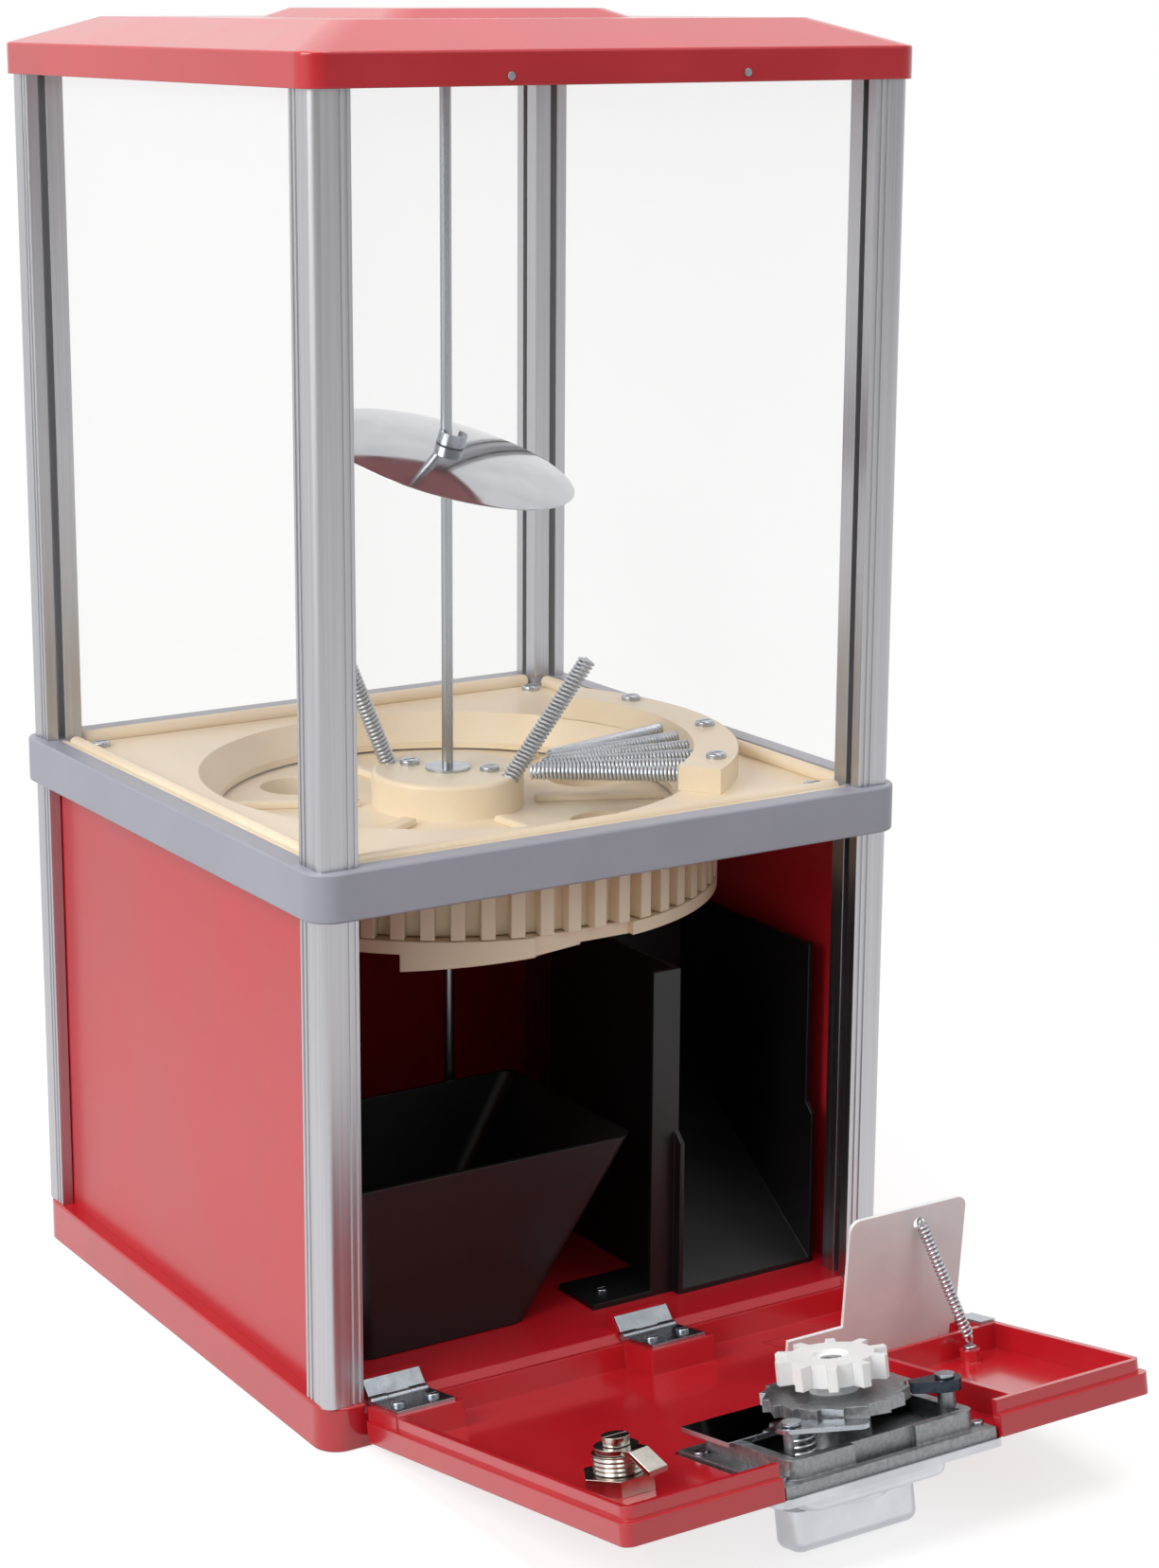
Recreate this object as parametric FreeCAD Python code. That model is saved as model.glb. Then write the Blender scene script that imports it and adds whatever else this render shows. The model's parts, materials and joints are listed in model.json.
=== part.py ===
import FreeCAD, Part
import math
import os

from FreeCAD import Placement, Rotation, Vector

# Gumball machine with a square cabinet, standing on its base with the front door swung down.
# Millimetres. +Z is up, the front faces -Y, and the origin is the centre of the base's underside.

# Base
base_width = 264.0
base_height = 17.6
base_corner = 10.0
base_wall = 3.0
base_edge_round = 1.0
front_bevel = 4.5

# Corner posts and what stands in their slots
post_set_in = 2.0
post_span = base_width - post_set_in
post_width = 16.0
post_corner = 4.0
slot_setback = 5.0
slot_depth = 7.0
flute_width = 1.4
flute_depth = 0.5
flute_count = 2
panel_thick = 2.4
window_thick = 3.0
slot_play = 0.2

# Band between the two halves
band_bottom = 210.0
band_height = 19.0
band_overhang = 8.0
band_width = post_span + band_overhang
band_corner = 11.0
band_wall = 9.0
band_ledge_height = 9.0
band_ledge_width = 14.0

# Lid
lid_overhang = 6.0
lid_width = post_span + lid_overhang
lid_corner = 9.0
lid_bottom = 509.0
lid_skirt = 12.5
lid_wall = 2.5
lid_seat = 5.0
roof_set_in = 58.0
roof_width = lid_width - roof_set_in
roof_rise = 10.5
plateau_foot = 112.0
plateau_width = 96.0
plateau_rise = 3.5
lid_boss_radius = 6.0
lid_boss_length = 14.0
rivet_radius = 1.5
rivet_height = 0.8
rivet_spacing = 103.4
rivet_lift = 3.5

# Centre rod, its hardware and the disc on it
rod_radius = 2.4
rod_play = 0.08
rod_top_gap = 4.0
nut_flats = 8.0
nut_height = 4.0
washer_radius = 9.5
washer_thick = 1.2
disc_radius = 54.5
disc_rise = 6.0
disc_thick = 1.5
disc_tilt = 17.4
disc_downhill = -60.0
disc_height = 355.5
disc_play = 0.6
clip_radius = 6.0
clip_height = 5.0

# Hopper floor
floor_top = 225.5
floor_thick = 3.5
floor_bead = 3.0
floor_bead_height = 3.0
floor_gap = 0.5
well_radius = 104.0
well_low_radius = 95.5
well_wall = 3.0

# Dispensing wheel
wheel_set_in = 18.5
wheel_radius = base_width / 2 - wheel_set_in
wheel_deck_top = 209.6
wheel_deck_thick = 4.0
wheel_gap = 1.0
ring_wall = 9.0
ring_bottom = 183.4
wheel_teeth = 60
tooth_slot = 6.2
tooth_slot_depth = 6.3
hub_radius = 32.0
hub_top = 224.5
hub_round = 2.0
sleeve_radius = 10.0
pocket_count = 6
pocket_circle = 72.0
pocket_radius = 15.0
pocket_wall = 2.5

# Plate under the wheel
plate_gap = 0.5
plate_thick = 3.5
plate_rim_height = 5.4
plate_rim_wall = 5.0
plate_boss_radius = 12.0
plate_boss_drop = 11.0
outlet_angle = -25.0
outlet_radius = 17.0
skirt_start = -130.0
skirt_end = -92.0
skirt_drop_start = 7.0
skirt_drop_end = 0.8
skirt_wall = 4.5
gear_relief = 0.9

# Spring cover and the fan of springs under it
cover_set_in = 9.5
cover_width = 18.5
cover_outer = post_span / 2 - cover_set_in
cover_inner = cover_outer - cover_width
cover_height = 10.5
cover_start = -55.0
cover_end = 32.0
cover_screw_set_in = 7.5
cover_screw_circle = cover_outer - cover_screw_set_in
cover_screw_angles = (-45.5, -15.5, 14.0)
corner_screw_inset = 6.0
fan_count = 6
fan_radius = 3.0
fan_inner_circle = 43.0
fan_grip = 3.0
fan_outer_circle = cover_inner + fan_grip
fan_inner_angles = (-70.0, -32.0)
fan_outer_angles = (-49.0, -3.0)
fan_lift = 4.2
fan_play = 0.15

# Agitator springs on the hub
agitator_radius = 3.8
agitator_length = 63.0
agitator_feet = ((14.0, -24.0), (-14.5, 22.5))
agitator_leans = ((0.58, -0.10, 0.81), (-0.35, 0.10, 0.93))
hub_screw_circle = 18.0
hub_screw_angles = (-42.0, 122.0)

# Wire and screws
coil_pitch = 1.25
coil_depth = 0.45
coil_wall = 1.3
screw_head_radius = 4.2
screw_head_height = 2.2
screw_shank_radius = 2.0
screw_length = 5.0
small_head_radius = 2.6
small_head_height = 1.3
small_shank_radius = 1.3
small_screw_length = 2.4
head_round_share = 0.45
driver_slot_half_share = 0.14
driver_slot_reach_share = 0.7
driver_slot_floor_share = 0.55
hole_play = 0.05
edge_find = 0.1
past = 1.0

# Chute
chute_left = 46.0
chute_right = 114.5
chute_set_back = 28.0
chute_depth = 96.0
chute_front = chute_set_back - base_width / 2
chute_back = chute_front + chute_depth
chute_top = 157.0
chute_back_top = 170.0
chute_wall = 2.0
chute_lip = 4.5
chute_lip_top = 88.0
chute_floor_back = 74.0
chute_floor_front = 2.2
chute_flange = 11.0
foot_length = 39.0
foot_depth = 26.0
foot_thick = 2.4
foot_screw_inset = 11.0

# Cash box
box_wall = 2.0
box_height = 72.0
box_gap = 0.3
box_top_x = (-106.0, 27.0)
box_top_y = (chute_front, chute_back)
box_low_x = (-100.0, -20.0)
box_lean_front = 5.0
box_lean_back = 6.0
box_low_y = (chute_front + box_lean_front, chute_back - box_lean_back)
box_corner = 8.0

# Door: heights are measured from its outer face, reaches from the hinge axis towards the free edge
hinge_set_in = 0.7
hinge_y = hinge_set_in - base_width / 2
hinge_z = 17.2
door_tilt = 11.0
axis_height = 14.0
door_side_gap = 29.0
door_width = post_span - door_side_gap
door_start = 0.3
door_length = 183.0
door_skin = 3.0
door_wall = 2.5
door_skirt_height = 8.0
door_rim_inset = 2.0
door_rim_height = 13.0
door_corner = 4.0
notch_half = 48.0
notch_start = 114.0
cell_left = 53.0
cell_start = 97.0

# Hinges
hinge_centres = (-100.0, 15.5)
hinge_width = 25.0
hinge_leaf = 1.2
hinge_knuckle = 1.8
hinge_pin_radius = 0.9
hinge_pin_play = 0.05
hinge_base_reach = 9.0
hinge_door_reach = 22.0
hinge_eye = 10.0
hinge_eye_gap = 0.2
hinge_clear = 0.5
hinge_slope = 45.0

# Coin mechanism
mech_x = -3.0
mech_reach = 150.0
face_half = 50.0
face_thick = 3.0
face_overlap = 2.0
face_corner = 5.0
face_boss_half = 32.0
face_boss_length = 48.0
face_boss_height = 8.0
face_boss_corner = 8.0
coin_slot_length = 27.0
coin_slot_width = 2.4
key_slot_half = 0.6
coin_slot_offset = 28.0
body_gap = 1.5
body_plate = 4.0
body_frame_half = 41.0
body_frame_length = 56.0
body_frame_wall = 4.0
body_frame_height = 11.0
mech_plate_thick = 2.0
mech_plate_half = 46.0
mech_plate_start = -32.0
mech_plate_end = -2.0
body_hub_radius = 12.0
body_hub_height = 17.4
shaft_radius = 4.0
shaft_play = 0.06
stack_gap = 0.4
ratchet_radius = 27.0
ratchet_thick = 4.5
ratchet_teeth = 18
ratchet_tooth = 2.5
gear_teeth = 10
gear_tip = 20.6
gear_root = 15.6
gear_tip_width = 3.4
gear_root_width = 4.4
gear_thick = 8.5
gear_top_height = 35.3
gear_recess_radius = 6.5
gear_recess = 1.5
handle_bottom = 30.6
handle_half = 28.0
handle_thick = 16.0
handle_disc_radius = 16.0
handle_disc = 3.4
handle_round = 4.0
pivot_post_radius = 3.3
pivot_pin_radius = 2.0
pivot_play = 0.06
pivot_head_radius = 3.6
pivot_head = 1.2
pawl_offset = (36.0, 18.0)
pawl_thick = 4.0
pawl_hub = 6.0
pawl_tip_gap = 0.5
pawl_tip_width = 5.0
lever_offset = (-31.0, 16.0)
lever_thick = 1.6
lever_hub = 6.0
lever_tip_offset = (-13.0, 31.0)
lever_tip_radius = 4.0
lever_coil_radius = 5.6
hinge_screw_reach_share = 0.62
hinge_screw_spread_share = 0.3
tooth_sink = 2.0
collar_share = 0.75
handle_end_share = 0.7
key_slot_share = 0.4
ratchet_back_share = 0.1

# Lock
lock_place = (-86.0, 133.0)
lock_flange_radius = 11.5
lock_flange = 2.0
lock_radius = 9.0
lock_length = 16.0
lock_thread_depth = 0.6
lock_thread_pitch = 1.6
lock_nut_flats = 24.0
lock_nut_height = 6.0
cam_thick = 2.0
cam_hub = 8.0
cam_width = 9.0
cam_length = 20.0
cam_bend = 5.5
cam_bend_start = 11.0
cam_angle = -78.0
cam_gap = 0.3
cam_stem_radius = 3.0
cam_stem_play = 0.06
cam_screw_radius = 5.0
cam_screw_height = 3.2

# Outlet flap
outlet_left = 58.0
outlet_right = 104.0
outlet_start = 17.0
flap_reach = 84.5
flap_play = 0.5
flap_pin_radius = 1.0
flap_pin_play = 0.05
flap_bearing = 5.0
baffle_left = 50.0
baffle_right = 106.0
baffle_thick = 1.6
baffle_height = 64.0
baffle_lean = 15.5
baffle_foot_inset = 4.5
baffle_neck = 9.0
ear_left = 24.0
ear_top = 20.0
flap_spring_radius = 2.4
flap_spring_off = 1.75
flap_spring_top = (83.0, 57.0)
flap_spring_foot = (94.0, 106.0)
flap_spring_post = 8.0
flap_post_radius = 4.0
clip_plate = (7.0, 14.0, 1.0)
clip_boss = (4.5, 16.0)

# Places worked out from the sizes above
half_base = base_width / 2
half_post = post_span / 2
post_inner = half_post - post_width
slot_width = window_thick + 2 * slot_play
slot_centre = half_post - slot_setback - slot_width / 2
slot_reach = post_inner + slot_depth - slot_play
band_top = band_bottom + band_height
band_hollow = band_width / 2 - band_wall
lid_crease = lid_bottom + lid_skirt
post_top = lid_bottom + lid_seat
roof_top = lid_crease + roof_rise
lid_top = roof_top + plateau_rise
rod_top = roof_top - rod_top_gap
floor_bottom = floor_top - floor_thick
wheel_deck_bottom = wheel_deck_top - wheel_deck_thick
plate_top = ring_bottom - plate_gap
plate_rim_bottom = plate_top - plate_rim_height
plate_boss_bottom = plate_top - plate_boss_drop
cover_top = floor_top + cover_height
half_door = door_width / 2
rim_half = half_door - door_rim_inset
rim_end = door_length - door_rim_inset
rim_start = door_start + door_rim_inset
ratchet_bottom = body_hub_height + stack_gap
pawl_place = (pawl_offset[0], mech_reach + pawl_offset[1])
lever_place = (lever_offset[0], mech_reach + lever_offset[1])
lever_tip = (lever_tip_offset[0], mech_reach + lever_tip_offset[1])
mesh_angle = -90 + math.degrees(math.asin(mech_x / wheel_radius))
ratchet_top = ratchet_bottom + ratchet_thick
gear_bottom = gear_top_height - gear_thick
flap_height = door_skin / 2
outlet_place = (pocket_circle * math.cos(math.radians(outlet_angle)),
                pocket_circle * math.sin(math.radians(outlet_angle)))

Z_AXIS = Vector(0, 0, 1)
X_AXIS = Vector(1, 0, 0)
hinge_point = Vector(0, hinge_y, hinge_z)
door_placement = Placement(hinge_point, Rotation(X_AXIS, -door_tilt))

parts = {}
door_screws = []


# Shape helpers

def block(x0, x1, y0, y1, z0, z1):
    return Part.makeBox(x1 - x0, y1 - y0, z1 - z0, Vector(x0, y0, z0))


def cylinder(radius, z0, z1, x=0.0, y=0.0):
    return Part.makeCylinder(radius, z1 - z0, Vector(x, y, z0), Z_AXIS)


def rod_between(start, end, radius):
    along = end - start
    return Part.makeCylinder(radius, along.Length, start, along)


def polygon(points, z0, z1):
    corners = [Vector(x, y, z0) for x, y in points]
    face = Part.Face(Part.makePolygon(corners + corners[:1]))
    return face.extrude(Vector(0, 0, z1 - z0))


def side_profile(points, x0, x1):
    """A prism along X from points given as y and z."""
    corners = [Vector(x0, y, z) for y, z in points]
    face = Part.Face(Part.makePolygon(corners + corners[:1]))
    return face.extrude(Vector(x1 - x0, 0, 0))


def turned(points):
    """A solid of revolution about Z from points given as radius and z."""
    corners = [Vector(r, 0, z) for r, z in points]
    face = Part.Face(Part.makePolygon(corners + corners[:1]))
    return face.revolve(Vector(0, 0, 0), Z_AXIS, 360)


def round_rectangle(x0, x1, y0, y1, corner, z):
    edges = []
    cut = corner * (1 - math.sqrt(0.5))
    runs = [((x0 + corner, y0), (x1 - corner, y0)), ((x1, y0 + corner), (x1, y1 - corner)),
            ((x1 - corner, y1), (x0 + corner, y1)), ((x0, y1 - corner), (x0, y0 + corner))]
    middles = [(x1 - cut, y0 + cut), (x1 - cut, y1 - cut), (x0 + cut, y1 - cut), (x0 + cut, y0 + cut)]
    for i, (start, end) in enumerate(runs):
        following = runs[(i + 1) % len(runs)][0]
        p, q, m, n = (Vector(a, b, z) for a, b in (start, end, middles[i], following))
        edges.append(Part.makeLine(p, q))
        edges.append(Part.Arc(q, m, n).toShape())
    return Part.Wire(edges)


def round_block(x0, x1, y0, y1, z0, z1, corner):
    face = Part.Face(round_rectangle(x0, x1, y0, y1, corner, z0))
    return face.extrude(Vector(0, 0, z1 - z0))


def round_square(width, corner, z):
    half = width / 2
    return round_rectangle(-half, half, -half, half, corner, z)


def square_block(width, corner, z0, z1):
    half = width / 2
    return round_block(-half, half, -half, half, z0, z1, corner)


def taper(lower, upper):
    return Part.makeLoft([lower, upper], True, True)


def hexagon(flats, z0, z1):
    radius = flats / math.sqrt(3)
    points = [(radius * math.cos(math.radians(60 * i)), radius * math.sin(math.radians(60 * i)))
              for i in range(6)]
    return polygon(points, z0, z1)


def sector(inner, outer, start, end, z0, z1):
    """A part of a flat ring between two angles in degrees."""
    ring = cylinder(outer, z0, z1).cut(cylinder(inner, z0, z1))
    wide = 2 * outer
    steps = max(2, math.ceil((end - start) / 60))
    fan = [(0.0, 0.0)]
    for i in range(steps + 1):
        angle = math.radians(start + (end - start) * i / steps)
        fan.append((wide * math.cos(angle), wide * math.sin(angle)))
    return ring.common(polygon(fan, z0, z1))


def coil(radius, length):
    """A close-wound spring standing on the XY plane, its turns drawn as ridges on a tube."""
    turns = max(2, round(length / coil_pitch))
    pitch = length / turns
    points = [(radius - coil_wall, 0), (radius - coil_depth, 0)]
    for i in range(turns):
        points.append((radius, (i + 0.5) * pitch))
        points.append((radius - coil_depth, (i + 1) * pitch))
    points.append((radius - coil_wall, length))
    return turned(points)


def along(shape, start, direction):
    """Stand a shape that was made along Z at a point, along a direction."""
    shape = shape.copy()
    shape.Placement = Placement(start, Rotation(Z_AXIS, direction))
    return shape


def screw(head_radius, head_height, shank_radius, length):
    """A pan-head screw on the XY plane: head above, shank below, with a driver slot."""
    head = cylinder(head_radius, 0, head_height)
    rim = [e for e in head.Edges if e.BoundBox.ZMin > head_height / 2]
    head = head.makeFillet(head_height * head_round_share, rim)
    slot_half = head_radius * driver_slot_half_share
    slot_reach = head_radius * driver_slot_reach_share
    slot_floor = head_height * driver_slot_floor_share
    slot = block(-slot_reach, slot_reach, -slot_half, slot_half, slot_floor, head_height)
    return head.cut(slot).fuse(cylinder(shank_radius, -length, 0))


def big_screw():
    return screw(screw_head_radius, screw_head_height, screw_shank_radius, screw_length)


def small_screw():
    return screw(small_head_radius, small_head_height, small_shank_radius, small_screw_length)


def screw_hole(shank_radius, length):
    return cylinder(shank_radius + hole_play, -length - hole_play, screw_head_height)


def at(shape, x, y, z):
    shape = shape.copy()
    shape.translate(Vector(x, y, z))
    return shape


def round_edges(shape, radius, chosen):
    edges = [e for e in shape.Edges if chosen(e)]
    return shape.makeFillet(radius, edges)


def quarter_turn(shape, count):
    shape = shape.copy()
    shape.rotate(Vector(0, 0, 0), Z_AXIS, 90 * count)
    return shape


# The door is drawn flat about its hinge axis, inside up, and then swung down

def door_block(x0, x1, reach0, reach1, height0, height1):
    return block(x0, x1, -reach1, -reach0, height0 - axis_height, height1 - axis_height)


def door_round_block(x0, x1, reach0, reach1, height0, height1, corner):
    return round_block(x0, x1, -reach1, -reach0, height0 - axis_height, height1 - axis_height, corner)


def door_cylinder(radius, height0, height1, x, reach):
    return cylinder(radius, height0 - axis_height, height1 - axis_height, x, -reach)


def on_door(shape, x, reach, height):
    return at(shape, x, -reach, height - axis_height)


def door_point(x, reach, height):
    return Vector(x, -reach, height - axis_height)


def add(name, shape):
    parts[name] = shape


def add_door(name, shape):
    shape = shape.copy()
    shape.Placement = door_placement.multiply(shape.Placement)
    parts[name] = shape


def add_mech(name, shape):
    """A piece of the coin mechanism, drawn about its own shaft line."""
    add_door(name, at(shape, mech_x, 0, 0))


def group(shapes):
    return Part.makeCompound(shapes)


# Cabinet

def hinge_pad_points():
    """The wedge behind the base leaf of a hinge, as y and z."""
    slope = math.radians(hinge_slope)
    lean = Vector(0, math.cos(slope), math.sin(slope))
    under = Vector(0, math.sin(slope), -math.cos(slope)) * (hinge_leaf / 2)
    low = hinge_point + under + lean * (hinge_knuckle + hinge_clear)
    high = hinge_point + under + lean * hinge_base_reach
    foot = -half_base + front_bevel
    return [(low.y, low.z), (high.y, high.z), (high.y + front_bevel, high.z),
            (high.y + front_bevel, base_height - base_wall), (foot, base_height - base_wall),
            (foot, base_height - hinge_clear)]


def make_base():
    shell = square_block(base_width, base_corner, 0, base_height)
    shell = round_edges(shell, base_edge_round, lambda e: e.BoundBox.ZMin > base_height - base_edge_round)
    hollow = square_block(base_width - 2 * base_wall, base_corner - base_wall, 0, base_height - base_wall)
    front = -half_base
    bevel = [(front - front_bevel, base_height - 2 * front_bevel), (front + front_bevel, base_height),
             (front + front_bevel, base_height + front_bevel), (front - front_bevel,
                                                                base_height + front_bevel)]
    inner = [(front, base_height - 2 * front_bevel), (front, base_height - front_bevel),
             (front + front_bevel, base_height), (front + 2 * front_bevel, base_height),
             (front + 2 * front_bevel, base_height - base_wall), (front + base_wall,
                                                                  base_height - 2 * front_bevel)]
    shell = shell.cut(hollow)
    shell = shell.fuse(side_profile(inner, -post_inner, post_inner))
    shell = shell.cut(side_profile(bevel, -post_inner, post_inner))
    for centre in hinge_centres:
        pad = side_profile(hinge_pad_points(), centre - hinge_width / 2, centre + hinge_width / 2)
        shell = shell.fuse(pad)
    shell = shell.cut(cylinder(rod_radius + hole_play, 0, base_height))
    foot_screw = at(screw_hole(small_shank_radius, small_screw_length), *foot_screw_place(),
                    base_height + foot_thick)
    return shell.cut(foot_screw).removeSplitter()


def post_section():
    """The section of the post at +X +Y with its slots and flutes, as a prism of unit height."""
    outer, inner = half_post, post_inner
    body = block(inner, outer, inner, outer, 0, 1)
    body = round_edges(body, post_corner, lambda e: e.BoundBox.XMin > outer - edge_find
                       and e.BoundBox.YMin > outer - edge_find)
    half_slot = slot_width / 2
    cuts = [block(inner - past, inner + slot_depth, slot_centre - half_slot, slot_centre + half_slot, -1,
                  2),
            block(slot_centre - half_slot, slot_centre + half_slot, inner - past, inner + slot_depth, -1,
                  2)]
    for i in range(flute_count):
        low = inner + (2 * i + 1) * flute_width
        high = low + flute_width
        cuts.append(block(low, high, outer - flute_depth, outer + past, -1, 2))
        cuts.append(block(outer - flute_depth, outer + past, low, high, -1, 2))
    for cut in cuts:
        body = body.cut(cut)
    top = [f for f in body.Faces if abs(f.CenterOfMass.z - 1) < 0.01][0]
    return top


def make_posts():
    face = post_section()
    for name, bottom, top in (("lower_post", base_height, band_bottom), ("upper_post", band_top, post_top)):
        post = at(face, 0, 0, bottom - 1).extrude(Vector(0, 0, top - bottom))
        for i, corner in enumerate(("rear_right", "rear_left", "front_left", "front_right")):
            add(f"{name}_{corner}", quarter_turn(post, i))


def make_sheets():
    """Red panels below and clear windows above, each standing in the slots of two posts."""
    sides = (("right", 0), ("rear", 1), ("left", 2), ("front", 3))
    for side, turn in sides:
        half = window_thick / 2
        window = block(slot_centre - half, slot_centre + half, -slot_reach, slot_reach, band_top, post_top)
        add(f"window_{side}", quarter_turn(window, turn))
        if side != "front":
            half = panel_thick / 2
            panel = block(slot_centre - half, slot_centre + half, -slot_reach, slot_reach, base_height,
                          band_bottom)
            add(f"panel_{side}", quarter_turn(panel, turn))


def make_band():
    outer = square_block(band_width, band_corner, band_bottom, band_top)
    outer = round_edges(outer, base_edge_round, lambda e: e.BoundBox.ZLength < 0.1)
    ledge_half = band_hollow - band_ledge_width
    ledge_top = band_bottom + band_ledge_height
    hollow = block(-band_hollow, band_hollow, -band_hollow, band_hollow, ledge_top, band_top)
    opening = block(-ledge_half, ledge_half, -ledge_half, ledge_half, band_bottom, band_top)
    band = outer.cut(hollow).cut(opening)
    corner = block(post_inner, band_hollow, post_inner, band_hollow, ledge_top, band_top)
    for i in range(4):
        band = band.fuse(quarter_turn(corner, i))
    return band.removeSplitter()


def make_lid():
    corner = lid_corner
    skirt = square_block(lid_width, corner, lid_bottom, lid_crease)
    roof = taper(round_square(lid_width, corner, lid_crease), round_square(roof_width, corner, roof_top))
    plateau = taper(round_square(plateau_foot, corner, roof_top),
                    round_square(plateau_width, corner, lid_top))
    shell = skirt.fuse(roof).fuse(plateau)
    inner = lid_width - 2 * lid_wall
    seat_width = inner - 2 * lid_seat
    inner_corner = post_corner + inner / 2 - half_post
    shell = shell.cut(square_block(inner, inner_corner, lid_bottom, post_top))
    cavity = taper(round_square(seat_width, corner, post_top),
                   round_square(roof_width - 2 * lid_wall, corner,
                                                                           roof_top - lid_wall))
    shell = shell.cut(cavity)
    upper = taper(round_square(plateau_foot - 2 * lid_wall, corner, roof_top - lid_wall),
                  round_square(plateau_width - 2 * lid_wall, corner, lid_top - lid_wall))
    shell = shell.cut(upper)
    boss_bottom = roof_top - lid_boss_length
    boss = cylinder(lid_boss_radius, boss_bottom, lid_top - lid_wall)
    boss = boss.cut(cylinder(rod_radius + rod_play, boss_bottom, rod_top + rod_top_gap / 2))
    shell = shell.fuse(boss)
    shell = round_edges(shell, base_edge_round, lambda e: abs(e.BoundBox.ZMin - lid_crease) < 0.01
                        and e.BoundBox.ZLength < 0.01 and e.BoundBox.Center.Length > lid_width / 2)
    rivets = []
    for side in (-1, 1):
        place = Vector(side * rivet_spacing / 2, -lid_width / 2, lid_bottom + rivet_lift)
        hole = Part.makeCylinder(rivet_radius / 2 + hole_play, lid_wall, place, Vector(0, 1, 0))
        shell = shell.cut(hole)
        head = Part.makeCylinder(rivet_radius, rivet_height, place, Vector(0, -1, 0))
        stem = Part.makeCylinder(rivet_radius / 2, lid_wall, place, Vector(0, 1, 0))
        rivets.append(head.fuse(stem))
    add("lid", shell)
    add("lid_rivets", group(rivets))


# Rod, disc and hopper

def make_rod():
    add("centre_rod", cylinder(rod_radius, 0, rod_top))
    nuts = [hexagon(nut_flats, base_height + washer_thick, base_height + washer_thick + nut_height),
            hexagon(nut_flats, plate_boss_bottom - nut_height, plate_boss_bottom)]
    washer = cylinder(washer_radius, base_height, base_height + washer_thick)
    add("rod_fasteners", group([piece.cut(cylinder(rod_radius, 0, rod_top)) for piece in nuts + [washer]]))
    hub_washer = cylinder(washer_radius, hub_top, hub_top + washer_thick)
    add("hub_washer", hub_washer.cut(cylinder(rod_radius + rod_play, 0, rod_top)))


def make_disc():
    """A shallow dished disc, higher in the middle, tilted on the rod and held by a bent clip."""
    sphere = (disc_radius ** 2 + disc_rise ** 2) / (2 * disc_rise)
    low = disc_rise - sphere
    ball = Part.makeSphere(sphere, Vector(0, 0, low))
    shell = ball.cut(Part.makeSphere(sphere - disc_thick, Vector(0, 0, low)))
    shell = shell.common(cylinder(disc_radius, 0, disc_rise + disc_thick))
    axis = Vector(*ring_place(1, disc_downhill + 90), 0)
    turn = Placement(Vector(0, 0, disc_height), Rotation(axis, disc_tilt))
    shell.Placement = turn
    bore = cylinder(rod_radius + disc_play, 0, rod_top)
    add("deflector_disc", shell.cut(bore))
    clip = cylinder(clip_radius, 0, clip_height).cut(cylinder(clip_radius - coil_wall, coil_wall,
                                                              clip_height))
    clip = clip.cut(block(-clip_radius, clip_radius, rod_radius, clip_radius, coil_wall, clip_height))
    clip.Placement = turn.multiply(Placement(Vector(0, 0, disc_rise + disc_thick / 4), Rotation()))
    add("disc_clip", clip.cut(cylinder(rod_radius + rod_play, 0, rod_top)))


def make_hopper_floor():
    half = band_hollow - floor_gap
    plate = block(-half, half, -half, half, floor_bottom, floor_top)
    bead = block(-half, half, -half, half, floor_top, floor_top + floor_bead_height)
    inner = half - floor_bead
    bead = bead.cut(block(-inner, inner, -inner, inner, floor_top, floor_top + floor_bead_height))
    low = wheel_deck_top + wheel_gap
    shoulder = well_radius + 2 * well_wall
    well = turned([(well_radius, floor_top), (shoulder, floor_top), (shoulder, floor_bottom),
                   (well_low_radius + well_wall, low), (well_low_radius, low), (well_low_radius,
                                                                                low + well_wall)])
    plate = plate.cut(cylinder(well_radius, floor_bottom, floor_top)).fuse(bead).fuse(well)
    rest = band_bottom + band_ledge_height
    feet = block(-half, half, -half, half, rest, floor_bottom)
    feet = feet.cut(block(-half + floor_bead, half - floor_bead, -half + floor_bead, half - floor_bead,
                          rest, floor_bottom))
    plate = plate.fuse(feet)
    clear = post_inner - floor_gap
    for i in range(4):
        plate = plate.cut(quarter_turn(block(clear, half + past, clear, half + past, rest, band_top), i))
    for angle in cover_screw_angles:
        plate = plate.cut(cover_screw_cutter(angle))
    for x, y in corner_screw_places():
        plate = plate.cut(at(screw_hole(screw_shank_radius, screw_length), x, y, floor_top))
    return plate.removeSplitter()


def ring_place(circle, angle):
    return circle * math.cos(math.radians(angle)), circle * math.sin(math.radians(angle))


def cover_screw_cutter(angle):
    x, y = ring_place(cover_screw_circle, angle)
    return cylinder(screw_shank_radius + hole_play, cover_top - screw_length - hole_play, cover_top, x, y)


def corner_screw_places():
    place = post_inner - corner_screw_inset
    return [(x * place, y * place) for x in (-1, 1) for y in (-1, 1)]


def fan_lines():
    """The two ends of each spring of the fan."""
    height = floor_top + fan_lift
    lines = []
    for i in range(fan_count):
        share = i / (fan_count - 1)
        inner_angle = fan_inner_angles[0] + share * (fan_inner_angles[1] - fan_inner_angles[0])
        outer_angle = fan_outer_angles[0] + share * (fan_outer_angles[1] - fan_outer_angles[0])
        inner = Vector(*ring_place(fan_inner_circle, inner_angle), height)
        outer = Vector(*ring_place(fan_outer_circle, outer_angle), height)
        lines.append((inner, outer))
    return lines


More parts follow.
